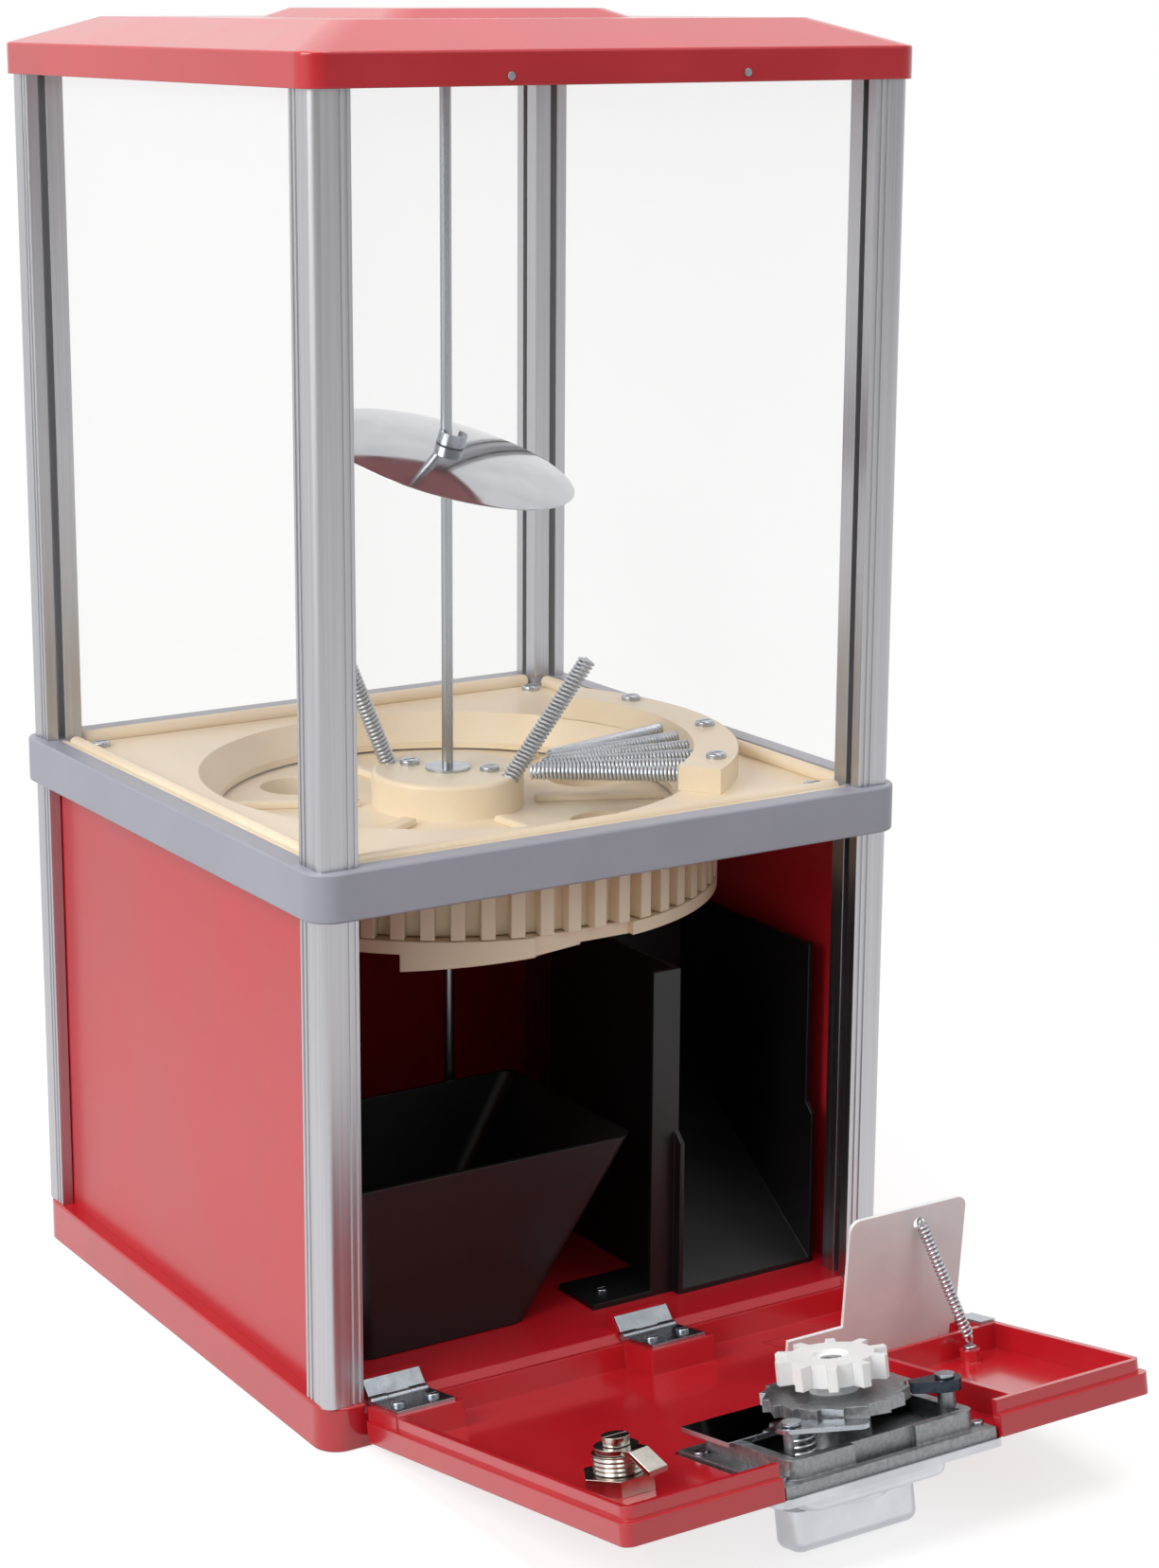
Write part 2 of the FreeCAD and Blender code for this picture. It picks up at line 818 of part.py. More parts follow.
def make_spring_cover():
    cover = sector(cover_inner, cover_outer, cover_start, cover_end, floor_top, cover_top)
    for angle in cover_screw_angles:
        cover = cover.cut(cover_screw_cutter(angle))
    springs = []
    for inner, outer in fan_lines():
        line = outer - inner
        springs.append(along(coil(fan_radius, line.Length), inner, line))
        cover = cover.cut(rod_between(inner, outer + line * (fan_play / line.Length),
                                      fan_radius + fan_play))
    add("spring_cover", cover)
    screws = []
    for angle in cover_screw_angles:
        screws.append(at(big_screw(), *ring_place(cover_screw_circle, angle), cover_top))
    for x, y in corner_screw_places():
        screws.append(at(big_screw(), x, y, floor_top))
    add("hopper_screws", group(screws))
    add("wiper_springs", group(springs))


def make_wheel():
    deck = cylinder(wheel_radius, wheel_deck_bottom, wheel_deck_top)
    ring = cylinder(wheel_radius, ring_bottom, wheel_deck_bottom)
    ring = ring.cut(cylinder(wheel_radius - ring_wall, ring_bottom, wheel_deck_bottom))
    slot = block(wheel_radius - tooth_slot_depth, wheel_radius + past, -tooth_slot / 2, tooth_slot / 2,
                 ring_bottom, wheel_deck_bottom)
    slots = []
    for i in range(wheel_teeth):
        turned_slot = slot.copy()
        turned_slot.rotate(Vector(0, 0, 0), Z_AXIS, mesh_angle + i * 360 / wheel_teeth)
        slots.append(turned_slot)
    ring = ring.cut(group(slots))
    hub = cylinder(hub_radius, wheel_deck_top, hub_top)
    hub = round_edges(hub, hub_round, lambda e: e.BoundBox.ZMin > hub_top - edge_find)
    sleeve = cylinder(sleeve_radius, plate_top + plate_gap, wheel_deck_bottom)
    wheel = deck.fuse(ring).fuse(hub).fuse(sleeve)
    for i in range(pocket_count):
        x, y = ring_place(pocket_circle, outlet_angle + (i + 0.5) * 360 / pocket_count)
        wall = cylinder(pocket_radius + pocket_wall, plate_top + plate_gap, wheel_deck_bottom, x, y)
        wheel = wheel.fuse(wall)
    for i in range(pocket_count):
        x, y = ring_place(pocket_circle, outlet_angle + (i + 0.5) * 360 / pocket_count)
        wheel = wheel.cut(cylinder(pocket_radius, plate_top, wheel_deck_top, x, y))
    wheel = wheel.cut(cylinder(rod_radius + rod_play, plate_top, hub_top))
    screws, springs = [], []
    for angle in hub_screw_angles:
        x, y = ring_place(hub_screw_circle, angle)
        screws.append(at(big_screw(), x, y, hub_top))
        wheel = wheel.cut(at(screw_hole(screw_shank_radius, screw_length), x, y, hub_top))
    for (x, y), lean in zip(agitator_feet, agitator_leans):
        lean = Vector(*lean).normalize()
        spring = along(coil(agitator_radius, agitator_length), Vector(x, y, hub_top - agitator_radius),
                       lean)
        spring = spring.cut(block(-hub_radius, hub_radius, -hub_radius, hub_radius, wheel_deck_top,
                                  hub_top))
        springs.append(spring)
    add("dispensing_wheel", wheel)
    add("hub_screws", group(screws))
    add("agitator_springs", group(springs))


def make_wheel_plate():
    plate = cylinder(wheel_radius, plate_top - plate_thick, plate_top)
    rim = cylinder(wheel_radius, plate_rim_bottom, plate_top)
    rim = rim.cut(cylinder(wheel_radius - plate_rim_wall, plate_rim_bottom, plate_top))
    plate = plate.fuse(rim).fuse(cylinder(plate_boss_radius, plate_boss_bottom, plate_top))
    low = plate_rim_bottom - skirt_drop_start
    skirt = sector(wheel_radius - skirt_wall, wheel_radius, skirt_start, skirt_end, low, plate_rim_bottom)
    start = ring_place(wheel_radius, skirt_start)
    end = ring_place(wheel_radius, skirt_end)
    tangent = Vector(end[0] - start[0], end[1] - start[1], skirt_drop_start - skirt_drop_end)
    slope = block(-wheel_radius, wheel_radius, -wheel_radius, wheel_radius, -wheel_radius, 0)
    flat = Vector(tangent.x, tangent.y, 0)
    turn = Rotation(X_AXIS, flat).multiply(Rotation(Vector(0, -1, 0),
                                                    math.degrees(math.atan2(tangent.z, flat.Length))))
    slope.Placement = Placement(Vector(start[0], start[1], low), turn)
    plate = plate.fuse(skirt.cut(slope))
    plate = plate.cut(cylinder(outlet_radius, plate_rim_bottom, plate_top, *outlet_place))
    plate = plate.cut(cylinder(rod_radius + hole_play, plate_boss_bottom, plate_top))
    gear_face = hinge_y - axis_height + gear_top_height
    relief_half = gear_tip + 2 * gear_relief
    relief = block(mech_x - relief_half, mech_x + relief_half, -wheel_radius - past,
                   gear_face + gear_relief,
                   low - past, plate_top)
    return plate.cut(relief).removeSplitter()


# Chute and cash box

def foot_screw_place():
    return chute_left - foot_length + foot_screw_inset, chute_front + foot_screw_inset


def make_chute():
    low = base_height
    wall = chute_wall
    outer = block(chute_left, chute_right, chute_front, chute_back, low, chute_top)
    lip = side_profile([(chute_front, chute_lip_top), (chute_front - chute_lip, chute_lip_top - chute_lip),
                        (chute_front - chute_lip, low), (chute_front, low)], chute_left, chute_right)
    inner = block(chute_left + wall, chute_right - wall, chute_front - chute_lip, chute_back - wall, low,
                  chute_top)
    chute = outer.fuse(lip).cut(inner)
    back = block(chute_left, chute_right, chute_back - wall, chute_back, chute_top, chute_back_top)
    side = side_profile([(chute_back, chute_top), (chute_back, chute_back_top),
                         (chute_back - (chute_back_top - chute_top), chute_back_top),
                         (chute_back - 2 * (chute_back_top - chute_top),
                          chute_top)], chute_left, chute_left + wall)
    front = chute_front - chute_lip
    ramp = side_profile([(chute_back, low + chute_floor_back),
                         (chute_back, low + chute_floor_back - 2 * wall),
                         (front + 2 * wall, low), (front, low), (front, low + chute_floor_front)],
                        chute_left, chute_right)
    flange = block(chute_left - chute_flange, chute_left, chute_front, chute_front + wall, low, chute_top)
    foot_x = chute_left - foot_length
    foot = block(foot_x, chute_left, chute_front, chute_front + foot_depth, low, low + foot_thick)
    chute = chute.fuse(back).fuse(side).fuse(ramp).fuse(flange).fuse(foot)
    hole = at(screw_hole(small_shank_radius, small_screw_length), *foot_screw_place(), low + foot_thick)
    add("chute", chute.cut(hole).removeSplitter())
    add("chute_screw", at(small_screw(), *foot_screw_place(), low + foot_thick))


def make_cash_box():
    low = base_height + box_gap
    top = low + box_height

    def ring(x_pair, y_pair, inset, z):
        return round_rectangle(x_pair[0] + inset, x_pair[1] - inset, y_pair[0] + inset, y_pair[1] - inset,
                               box_corner - inset, z)

    outer = taper(ring(box_low_x, box_low_y, 0, low), ring(box_top_x, box_top_y, 0, top))
    share = box_wall / box_height
    floor_x = [a + share * (b - a) for a, b in zip(box_low_x, box_top_x)]
    floor_y = [a + share * (b - a) for a, b in zip(box_low_y, box_top_y)]
    inner = taper(ring(floor_x, floor_y, box_wall, low + box_wall),
                  ring(box_top_x, box_top_y, box_wall, top))
    return outer.cut(inner)


# Door and hinges

def make_door():
    skirt = door_round_block(-half_door, half_door, door_start, door_length, 0, door_skirt_height,
                             door_corner)
    rim = door_round_block(-rim_half, rim_half, rim_start, rim_end, 0, door_rim_height, door_corner)
    hollow = door_block(-rim_half + door_wall, rim_half - door_wall, rim_start + door_wall,
                        rim_end - door_wall,
                        door_skin, door_rim_height)
    cell_wall = door_block(cell_left, rim_half - door_wall, cell_start, cell_start + door_wall,
                           door_skin, door_rim_height)
    side_wall = door_block(cell_left, cell_left + door_wall, cell_start, rim_end, door_skin,
                           door_rim_height)
    door = skirt.fuse(rim).cut(hollow.cut(cell_wall).cut(side_wall))
    door = door.cut(door_block(mech_x - notch_half, mech_x + notch_half, notch_start, door_length, 0,
                               door_rim_height))
    pad_top = axis_height - hinge_leaf / 2
    for centre in hinge_centres:
        half = hinge_width / 2 + door_wall
        pad = door_block(centre - half, centre + half, rim_start, hinge_door_reach + door_wall, door_skin,
                         pad_top)
        door = door.fuse(pad)
        for x, reach in hinge_screw_places(centre):
            door = door.cut(on_door(screw_hole(small_shank_radius, small_screw_length), x, reach,
                                    axis_height + hinge_leaf / 2))
    door = door.cut(door_block(outlet_left, outlet_right, outlet_start,
                               flap_reach + door_skin / 2 + flap_play,
                               0, door_skin))
    for side in (outlet_left - flap_bearing, outlet_right):
        bearing = door_block(side, side + flap_bearing, flap_reach - door_skin, flap_reach + door_skin,
                             door_skin, 2 * door_skin)
        door = door.fuse(bearing)
    door = door.cut(flap_pin(flap_pin_radius))
    post = door_cylinder(flap_post_radius, door_skin, flap_spring_post, *flap_spring_foot)
    door = door.fuse(post)
    door = door.cut(on_door(screw_hole(small_shank_radius, small_screw_length), *flap_spring_foot,
                            flap_spring_post))
    boss_x, boss_reach = clip_boss
    boss_side = rim_half - door_wall
    boss = door_block(boss_side - boss_x, boss_side, cell_start - boss_reach, cell_start,
                      door_skin, door_rim_height)
    door = door.fuse(boss)
    door = door.cut(door_cylinder(lock_radius + hole_play, 0, door_skin, *lock_place))
    return door.removeSplitter()


def hinge_screw_places(centre):
    reach = hinge_door_reach * hinge_screw_reach_share
    spread = hinge_width * hinge_screw_spread_share
    return [(centre - spread, reach), (centre + spread, reach)]


def hinge_leaf_shape(centre, reach, eyes):
    """One leaf drawn along -Y from the hinge axis, with its share of the knuckle."""
    half = hinge_width / 2
    clear = hinge_knuckle + hinge_clear / 2
    leaf = block(centre - half, centre + half, -reach, -clear, -hinge_leaf / 2, hinge_leaf / 2)
    for x0, x1 in eyes:
        knuckle = Part.makeCylinder(hinge_knuckle, x1 - x0, Vector(centre + x0, 0, 0), X_AXIS)
        web = block(centre + x0, centre + x1, -clear, 0, -hinge_leaf / 2, hinge_leaf / 2)
        leaf = leaf.fuse(knuckle).fuse(web)
    return leaf


def make_hinges():
    half = hinge_width / 2
    eye = hinge_eye / 2
    base_leaves, door_leaves, pins, screws = [], [], [], []
    for centre in hinge_centres:
        pin = Part.makeCylinder(hinge_pin_radius, hinge_width, Vector(centre - half, 0, 0), X_AXIS)
        bore = Part.makeCylinder(hinge_pin_radius + hinge_pin_play, hinge_width,
                                 Vector(centre - half, 0, 0), X_AXIS)
        fixed = hinge_leaf_shape(centre, hinge_base_reach, [(-eye, eye)]).cut(pin)
        fixed.Placement = Placement(hinge_point, Rotation(X_AXIS, 180 + hinge_slope))
        base_leaves.append(fixed)
        pin.translate(hinge_point)
        pins.append(pin)
        side = eye + hinge_eye_gap
        moving = hinge_leaf_shape(centre, hinge_door_reach, [(-half, -side), (side, half)]).cut(bore)
        for x, reach in hinge_screw_places(centre):
            top = axis_height + hinge_leaf / 2
            moving = moving.cut(on_door(screw_hole(small_shank_radius, small_screw_length), x, reach, top))
            screws.append(on_door(small_screw(), x, reach, top))
        door_leaves.append(moving)
    add("base_hinge_leaves", group(base_leaves))
    add("hinge_pins", group(pins))
    add_door("door_hinge_leaves", group(door_leaves))
    door_screws.extend(screws)


# Coin mechanism

def body_screw_places():
    side = (body_frame_half + notch_half - body_gap) / 2
    return [(sign * side, mech_reach + offset) for sign in (-1, 1)
            for offset in (-body_frame_length / 2 + body_frame_wall,
                           body_frame_length / 2 - body_frame_wall)]


def make_face_plate():
    start = notch_start - face_overlap
    plate = door_round_block(-face_half, face_half, start, door_length, -face_thick, 0, face_corner)
    half = face_boss_length / 2
    boss = door_round_block(-face_boss_half, face_boss_half, mech_reach - half, mech_reach + half,
                            -face_thick - face_boss_height, -face_thick, face_boss_corner)
    bottom = -face_thick - face_boss_height
    floor = bottom - axis_height
    boss = round_edges(boss, face_boss_corner / 3, lambda e: e.BoundBox.ZMax < floor + edge_find / 10)
    plate = plate.fuse(boss)
    plate = plate.cut(door_cylinder(shaft_radius + shaft_play, bottom, 0, 0, mech_reach))
    slot = door_block(-coin_slot_length / 2, coin_slot_length / 2,
                      mech_reach + coin_slot_offset - coin_slot_width,
                      mech_reach + coin_slot_offset, -face_thick, 0)
    return plate.cut(slot)


def make_mech_body():
    side = notch_half - body_gap
    body = door_block(-side, side, notch_start + body_gap, door_length - body_gap, 0, body_plate)
    half = body_frame_length / 2
    frame = door_round_block(-body_frame_half, body_frame_half, mech_reach - half, mech_reach + half,
                             body_plate, body_frame_height, face_corner)
    wall = body_frame_wall
    frame = frame.cut(door_block(-body_frame_half + wall, body_frame_half - wall, mech_reach - half + wall,
                                 mech_reach + half - wall, body_plate, body_frame_height))
    body = body.fuse(frame).fuse(door_cylinder(body_hub_radius, 0, body_hub_height, 0, mech_reach))
    for place in (pawl_place, lever_place):
        body = body.fuse(door_cylinder(pivot_post_radius, body_plate, body_hub_height, *place))
        body = body.cut(door_cylinder(pivot_pin_radius + hole_play, body_plate, body_hub_height, *place))
    slot = door_block(-coin_slot_length / 2, coin_slot_length / 2,
                      mech_reach + coin_slot_offset - coin_slot_width,
                      mech_reach + coin_slot_offset, 0, body_frame_height)
    body = body.cut(slot)
    body = body.cut(door_cylinder(shaft_radius + shaft_play, 0, body_hub_height, 0, mech_reach))
    for place in body_screw_places():
        body = body.cut(on_door(screw_hole(small_shank_radius, small_screw_length), *place, body_plate))
    return body.removeSplitter()


def make_mech_plate():
    """A flat plate over the hinge side of the casting's walls, cut round the hub."""
    low = body_frame_height
    plate = door_block(-mech_plate_half, mech_plate_half, mech_reach + mech_plate_start,
                       mech_reach + mech_plate_end,
                       low, low + mech_plate_thick)
    return plate.cut(door_cylinder(body_hub_radius + body_gap, low, low + mech_plate_thick, 0, mech_reach))


def ratchet_points():
    points = []
    for i in range(ratchet_teeth):
        start = 2 * math.pi * i / ratchet_teeth
        step = 2 * math.pi / ratchet_teeth
        points.append((ratchet_radius * math.cos(start), ratchet_radius * math.sin(start)))
        low = ratchet_radius - ratchet_tooth
        points.append((low * math.cos(start + step * ratchet_back_share),
                       low * math.sin(start + step * ratchet_back_share)))
    return points


def make_gear():
    """The drive gear, with one tooth pointing at the door's free edge at rest."""
    height0, height1 = gear_bottom - axis_height, gear_top_height - axis_height
    gear = cylinder(gear_root, height0, height1)
    foot = gear_root - tooth_sink
    half_tip, half_root = gear_tip_width / 2, gear_root_width / 2
    tooth = polygon([(-half_root, -foot), (half_root, -foot), (half_tip, -gear_tip),
                     (-half_tip, -gear_tip)],
                    height0, height1)
    for i in range(gear_teeth):
        copy = tooth.copy()
        copy.rotate(Vector(0, 0, 0), Z_AXIS, i * 360 / gear_teeth)
        gear = gear.fuse(copy)
    collar = cylinder(body_hub_radius * collar_share, ratchet_top - axis_height, height0)
    gear = gear.fuse(collar).cut(cylinder(gear_recess_radius, height1 - gear_recess, height1))
    gear = gear.cut(cylinder(shaft_radius, ratchet_top - axis_height, height1))
    return at(gear, 0, -mech_reach, 0).removeSplitter()


def make_handle():
    """A wing handle on a round flange, with the shaft that carries the ratchet and the gear."""
    top = -face_thick - face_boss_height - stack_gap
    flange = door_cylinder(handle_disc_radius, top - handle_disc, top, 0, mech_reach)
    half = handle_thick / 2
    wing = door_round_block(-handle_half, handle_half, mech_reach - half, mech_reach + half,
                            -handle_bottom, top - handle_disc, half * handle_end_share)
    floor = -handle_bottom - axis_height
    wing = round_edges(wing, handle_round, lambda e: e.BoundBox.ZMax < floor + edge_find / 10)
    shaft_foot = top - 2 * handle_disc
    shaft = door_cylinder(shaft_radius, shaft_foot, gear_top_height - gear_recess, 0, mech_reach)
    add_mech("coin_handle", flange.fuse(wing).cut(shaft))
    add_mech("handle_shaft", shaft)
    ratchet = polygon(ratchet_points(), ratchet_bottom - axis_height, ratchet_top - axis_height)
    ratchet = ratchet.cut(cylinder(shaft_radius, ratchet_bottom - axis_height, ratchet_top - axis_height))
    add_mech("ratchet_disc", at(ratchet, 0, -mech_reach, 0))
    add_mech("drive_gear", make_gear())


def make_pawl_and_lever():
    centre = Vector(0, -mech_reach, 0)
    pivot = Vector(pawl_place[0], -pawl_place[1], 0)
    inward = (centre - pivot).normalize()
    cross = Vector(-inward.y, inward.x, 0)
    tip = centre - inward * (ratchet_radius + pawl_tip_gap)
    bottom, top = ratchet_bottom - axis_height, ratchet_bottom + pawl_thick - axis_height
    corners = [pivot + cross * pawl_hub, pivot - cross * pawl_hub, tip - cross * pawl_tip_width / 2,
               tip + cross * pawl_tip_width / 2]
    arm = polygon([(c.x, c.y) for c in corners], bottom, top)
    swing = cylinder(ratchet_radius + pawl_tip_gap, bottom, top, centre.x, centre.y)
    pawl = cylinder(pawl_hub, bottom, top, pivot.x, pivot.y).fuse(arm).cut(swing)
    pawl = pawl.cut(cylinder(pivot_pin_radius + pivot_play, bottom, top, pivot.x, pivot.y))
    add_mech("pawl", pawl.removeSplitter())
    start = Vector(lever_place[0], -lever_place[1], 0)
    end = Vector(lever_tip[0], -lever_tip[1], 0)
    line = (end - start).normalize()
    cross = Vector(-line.y, line.x, 0)
    top = bottom + lever_thick
    corners = [start + cross * lever_hub, start - cross * lever_hub, end - cross * lever_tip_radius,
               end + cross * lever_tip_radius]
    lever = polygon([(c.x, c.y) for c in corners], bottom, top)
    lever = lever.fuse(cylinder(lever_hub, bottom, top, start.x, start.y))
    lever = lever.fuse(cylinder(lever_tip_radius, bottom, top, end.x, end.y))
    lever = lever.cut(swing)
    lever = lever.cut(cylinder(pivot_pin_radius + pivot_play, bottom, top, start.x, start.y))
    add_mech("coin_lever", lever.removeSplitter())
    heads = (ratchet_bottom + pawl_thick + stack_gap, ratchet_bottom + lever_thick + stack_gap)
    pins = []
    for place, head in zip((pawl_place, lever_place), heads):
        pin = door_cylinder(pivot_pin_radius, body_plate, head, *place)
        pins.append(pin.fuse(door_cylinder(pivot_head_radius, head, head + pivot_head, *place)))
    add_mech("pivot_pins", group(pins))
    length = body_hub_height - body_plate
    spring = coil(lever_coil_radius, length)
    add_mech("lever_spring", on_door(spring, lever_place[0], lever_place[1], body_plate))


def make_coin_mechanism():
    add_mech("face_plate", make_face_plate())
    add_mech("mech_body", make_mech_body())
    add_mech("mech_plate", make_mech_plate())
    door_screws.extend(on_door(small_screw(), mech_x + x, reach, body_plate)
                       for x, reach in body_screw_places())
    make_handle()
    make_pawl_and_lever()


# Lock

def make_lock():
    x, reach = lock_place
    flange = cylinder(lock_flange_radius, -lock_flange, 0)
    turns = max(2, round((lock_length - door_skin) / lock_thread_pitch))
    pitch = (lock_length - door_skin) / turns
    points = [(0, 0), (lock_radius, 0), (lock_radius, door_skin)]
    for i in range(turns):
        points.append((lock_radius - lock_thread_depth, door_skin + (i + 0.5) * pitch))
        points.append((lock_radius, door_skin + (i + 1) * pitch))
    points.append((0, lock_length))
    barrel = flange.fuse(turned(points))
    bottom, top = lock_length + cam_gap, lock_length + cam_gap + cam_thick
    barrel = barrel.fuse(cylinder(cam_stem_radius, lock_length, top + cam_gap))
    key_half = lock_radius * key_slot_share
    key = block(-key_half, key_half, -key_slot_half, key_slot_half, -lock_flange, lock_length / 2)
    add_door("lock_barrel", on_door(barrel.cut(key), x, reach, 0))
    nut = hexagon(lock_nut_flats, door_skin, door_skin + lock_nut_height).cut(cylinder(lock_radius, 0,
                                                                                       lock_length))
    add_door("lock_nut", on_door(nut, x, reach, 0))
    half = cam_width / 2
    flat = block(0, cam_bend_start, -half, half, bottom, top)
    slant = [(cam_bend_start, bottom), (cam_bend_start, top), (cam_length, top - cam_bend),
             (cam_length, bottom - cam_bend)]
    corners = [Vector(a, -half, b) for a, b in slant]
    bent = Part.Face(Part.makePolygon(corners + corners[:1])).extrude(Vector(0, cam_width, 0))
    cam = cylinder(cam_hub, bottom, top).fuse(flat).fuse(bent)
    cam = cam.cut(cylinder(cam_stem_radius + cam_stem_play, bottom, top))
    cam.rotate(Vector(0, 0, 0), Z_AXIS, cam_angle)
    add_door("lock_cam", on_door(cam.removeSplitter(), x, reach, 0))
    head = cylinder(cam_screw_radius, top + cam_gap, top + cam_gap + cam_screw_height)
    slot_half = key_slot_half
    head = head.cut(block(-cam_screw_radius, cam_screw_radius, -slot_half, slot_half,
                          top + cam_gap + cam_screw_height / 2, top + cam_gap + cam_screw_height))
    add_door("lock_screw", on_door(head, x, reach, 0))


# Outlet flap

def flap_pin(radius):
    start = door_point(outlet_left - flap_bearing, flap_reach, flap_height)
    length = outlet_right - outlet_left + 2 * flap_bearing
    return Part.makeCylinder(radius, length, start, X_AXIS)


def make_flap():
    left, right = outlet_left + flap_play, outlet_right - flap_play
    plate = door_block(left, right, outlet_start + flap_play, flap_reach, 0, door_skin)
    nose = Part.makeCylinder(door_skin / 2, right - left, door_point(left, flap_reach, flap_height), X_AXIS)
    flap = plate.fuse(nose).cut(flap_pin(flap_pin_radius + flap_pin_play))
    add_door("outlet_flap", flap.removeSplitter())
    add_door("flap_pin", flap_pin(flap_pin_radius))
    neck = baffle_neck
    sheet = block(baffle_left, baffle_right, 0, baffle_thick, neck, baffle_height)
    sheet = sheet.fuse(block(left, right, 0, baffle_thick, 0, neck))
    sheet = sheet.fuse(block(ear_left, baffle_left, 0, baffle_thick, neck, ear_top))
    hole_x, hole_height = flap_spring_top
    hole = Part.makeCylinder(flap_spring_radius, baffle_thick, Vector(hole_x, 0, hole_height),
                             Vector(0, 1, 0))
    sheet = sheet.cut(hole)
    sheet = round_edges(sheet, neck / 2, lambda e: e.BoundBox.YLength > baffle_thick / 2
                        and e.BoundBox.ZMin > baffle_height - past)
    foot_reach = flap_reach - baffle_foot_inset
    sheet.Placement = Placement(door_point(0, foot_reach, door_skin), Rotation(X_AXIS, baffle_lean))
    foot = door_block(left, right, foot_reach - baffle_foot_inset, foot_reach, door_skin,
                      door_skin + baffle_thick)
    below = door_block(left, right, foot_reach - baffle_foot_inset, flap_reach, 0, door_skin)
    add_door("flap_baffle", sheet.fuse(foot).cut(below))
    make_flap_spring(foot_reach)


def make_flap_spring(foot_reach):
    """The extension spring from the baffle's hole to a screw post in the cell."""
    lean = math.radians(baffle_lean)
    hole_x, hole_height = flap_spring_top
    top = door_point(hole_x, foot_reach + hole_height * math.sin(lean) + flap_spring_off,
                     door_skin + hole_height * math.cos(lean))
    foot_x, reach = flap_spring_foot
    post_top = flap_spring_post + small_head_height + flap_spring_radius + stack_gap
    foot = door_point(foot_x, reach, post_top)
    line = foot - top
    add_door("flap_spring", along(coil(flap_spring_radius, line.Length), top, line))
    door_screws.append(on_door(small_screw(), foot_x, reach, flap_spring_post))
    width, depth, thick = clip_plate
    add_door("pin_clip", door_block(rim_half - width, rim_half, cell_start - depth, cell_start,
                                    door_rim_height, door_rim_height + thick))


def build():
    add("base_tray", make_base())
    make_posts()
    make_sheets()
    add("mid_band", make_band())
    make_lid()
    make_rod()
    make_disc()
    add("hopper_floor", make_hopper_floor())
    make_spring_cover()
    make_wheel()
    add("wheel_plate", make_wheel_plate())
    make_chute()
    add("cash_box", make_cash_box())
    add_door("door_panel", make_door())
    make_hinges()
    make_coin_mechanism()
    make_lock()
    make_flap()
    add_door("door_screws", group(door_screws))


build()
os.makedirs("parts", exist_ok=True)
for name, shape in parts.items():
    shape.exportStep(f"parts/{name}.step")
    print(name, "solids", len(shape.Solids), "valid", shape.isValid(), "volume", round(shape.Volume, 1))
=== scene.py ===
# %% [markdown]
# # Dressing a gumball machine
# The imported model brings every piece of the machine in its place, in metres.
# This lesson keeps those pieces, gives each one the finish of the real thing, and adds what a solid model
# leaves out, such as springs wound from wire. It ends with a plain studio around the machine.

# %% Load the frame
import json
import math

import bpy
from mathutils import Matrix, Vector


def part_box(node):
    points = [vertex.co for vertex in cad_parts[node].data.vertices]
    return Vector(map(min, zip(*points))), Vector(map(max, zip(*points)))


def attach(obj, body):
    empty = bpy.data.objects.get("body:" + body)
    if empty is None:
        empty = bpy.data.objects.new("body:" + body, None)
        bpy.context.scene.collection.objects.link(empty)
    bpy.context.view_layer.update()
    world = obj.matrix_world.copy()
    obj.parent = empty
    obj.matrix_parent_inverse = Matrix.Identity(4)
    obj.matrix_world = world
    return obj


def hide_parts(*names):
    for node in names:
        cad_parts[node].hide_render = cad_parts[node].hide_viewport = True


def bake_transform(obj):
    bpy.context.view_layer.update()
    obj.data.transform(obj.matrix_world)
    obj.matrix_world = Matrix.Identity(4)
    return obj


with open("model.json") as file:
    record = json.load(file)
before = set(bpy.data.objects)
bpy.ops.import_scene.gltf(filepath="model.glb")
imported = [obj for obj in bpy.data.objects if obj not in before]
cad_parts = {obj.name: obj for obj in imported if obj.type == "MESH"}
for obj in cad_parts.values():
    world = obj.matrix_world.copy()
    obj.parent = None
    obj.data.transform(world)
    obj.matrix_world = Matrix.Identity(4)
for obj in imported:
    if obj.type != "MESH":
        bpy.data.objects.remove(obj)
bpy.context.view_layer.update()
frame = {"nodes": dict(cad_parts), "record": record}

nodes = frame["nodes"]
MM = 0.001

# %% [markdown]
# ## Colours and nodes
# Colours are written as the hex values that a paint chart gives. Blender mixes light in linear values,
# so one function turns the hex into linear. One more small function adds a shader node, sets it and links it.

# %% Colour and node helpers


def linear(hex_colour):
    """An sRGB hex colour as linear red, green, blue and alpha."""
    channels = []
    for i in (1, 3, 5):
        value = int(hex_colour[i:i + 2], 16) / 255
        channels.append(value / 12.92 if value <= 0.04045 else ((value + 0.055) / 1.055) ** 2.4)
    return (*channels, 1.0)


def add_node(tree, kind, settings=None, links=None):
    """Adds one node. Settings are properties or socket values, links map a socket to an output socket."""
    node = tree.nodes.new(kind)
    for key, value in (settings or {}).items():
        if isinstance(key, str) and hasattr(node, key):
            setattr(node, key, value)
        else:
            node.inputs[key].default_value = value
    for key, output in (links or {}).items():
        tree.links.new(output, node.inputs[key])
    return node


def new_finish(name, **sockets):
    """A material with one shader, whose even values are set on the shader's own sockets."""
    material = bpy.data.materials.new(name)
    material.use_nodes = True
    shader = material.node_tree.nodes["Principled BSDF"]
    for key, value in sockets.items():
        shader.inputs[key.replace("_", " ")].default_value = value
    return material, material.node_tree, shader


def per_metre(size_mm):
    """The texture scale whose features are about that many millimetres across."""
    return 1.0 / (size_mm * MM)


# A noise texture seldom leaves the middle of its range, so that middle is stretched to run from none to all.
NOISE_LOW = 0.3
NOISE_HIGH = 0.7
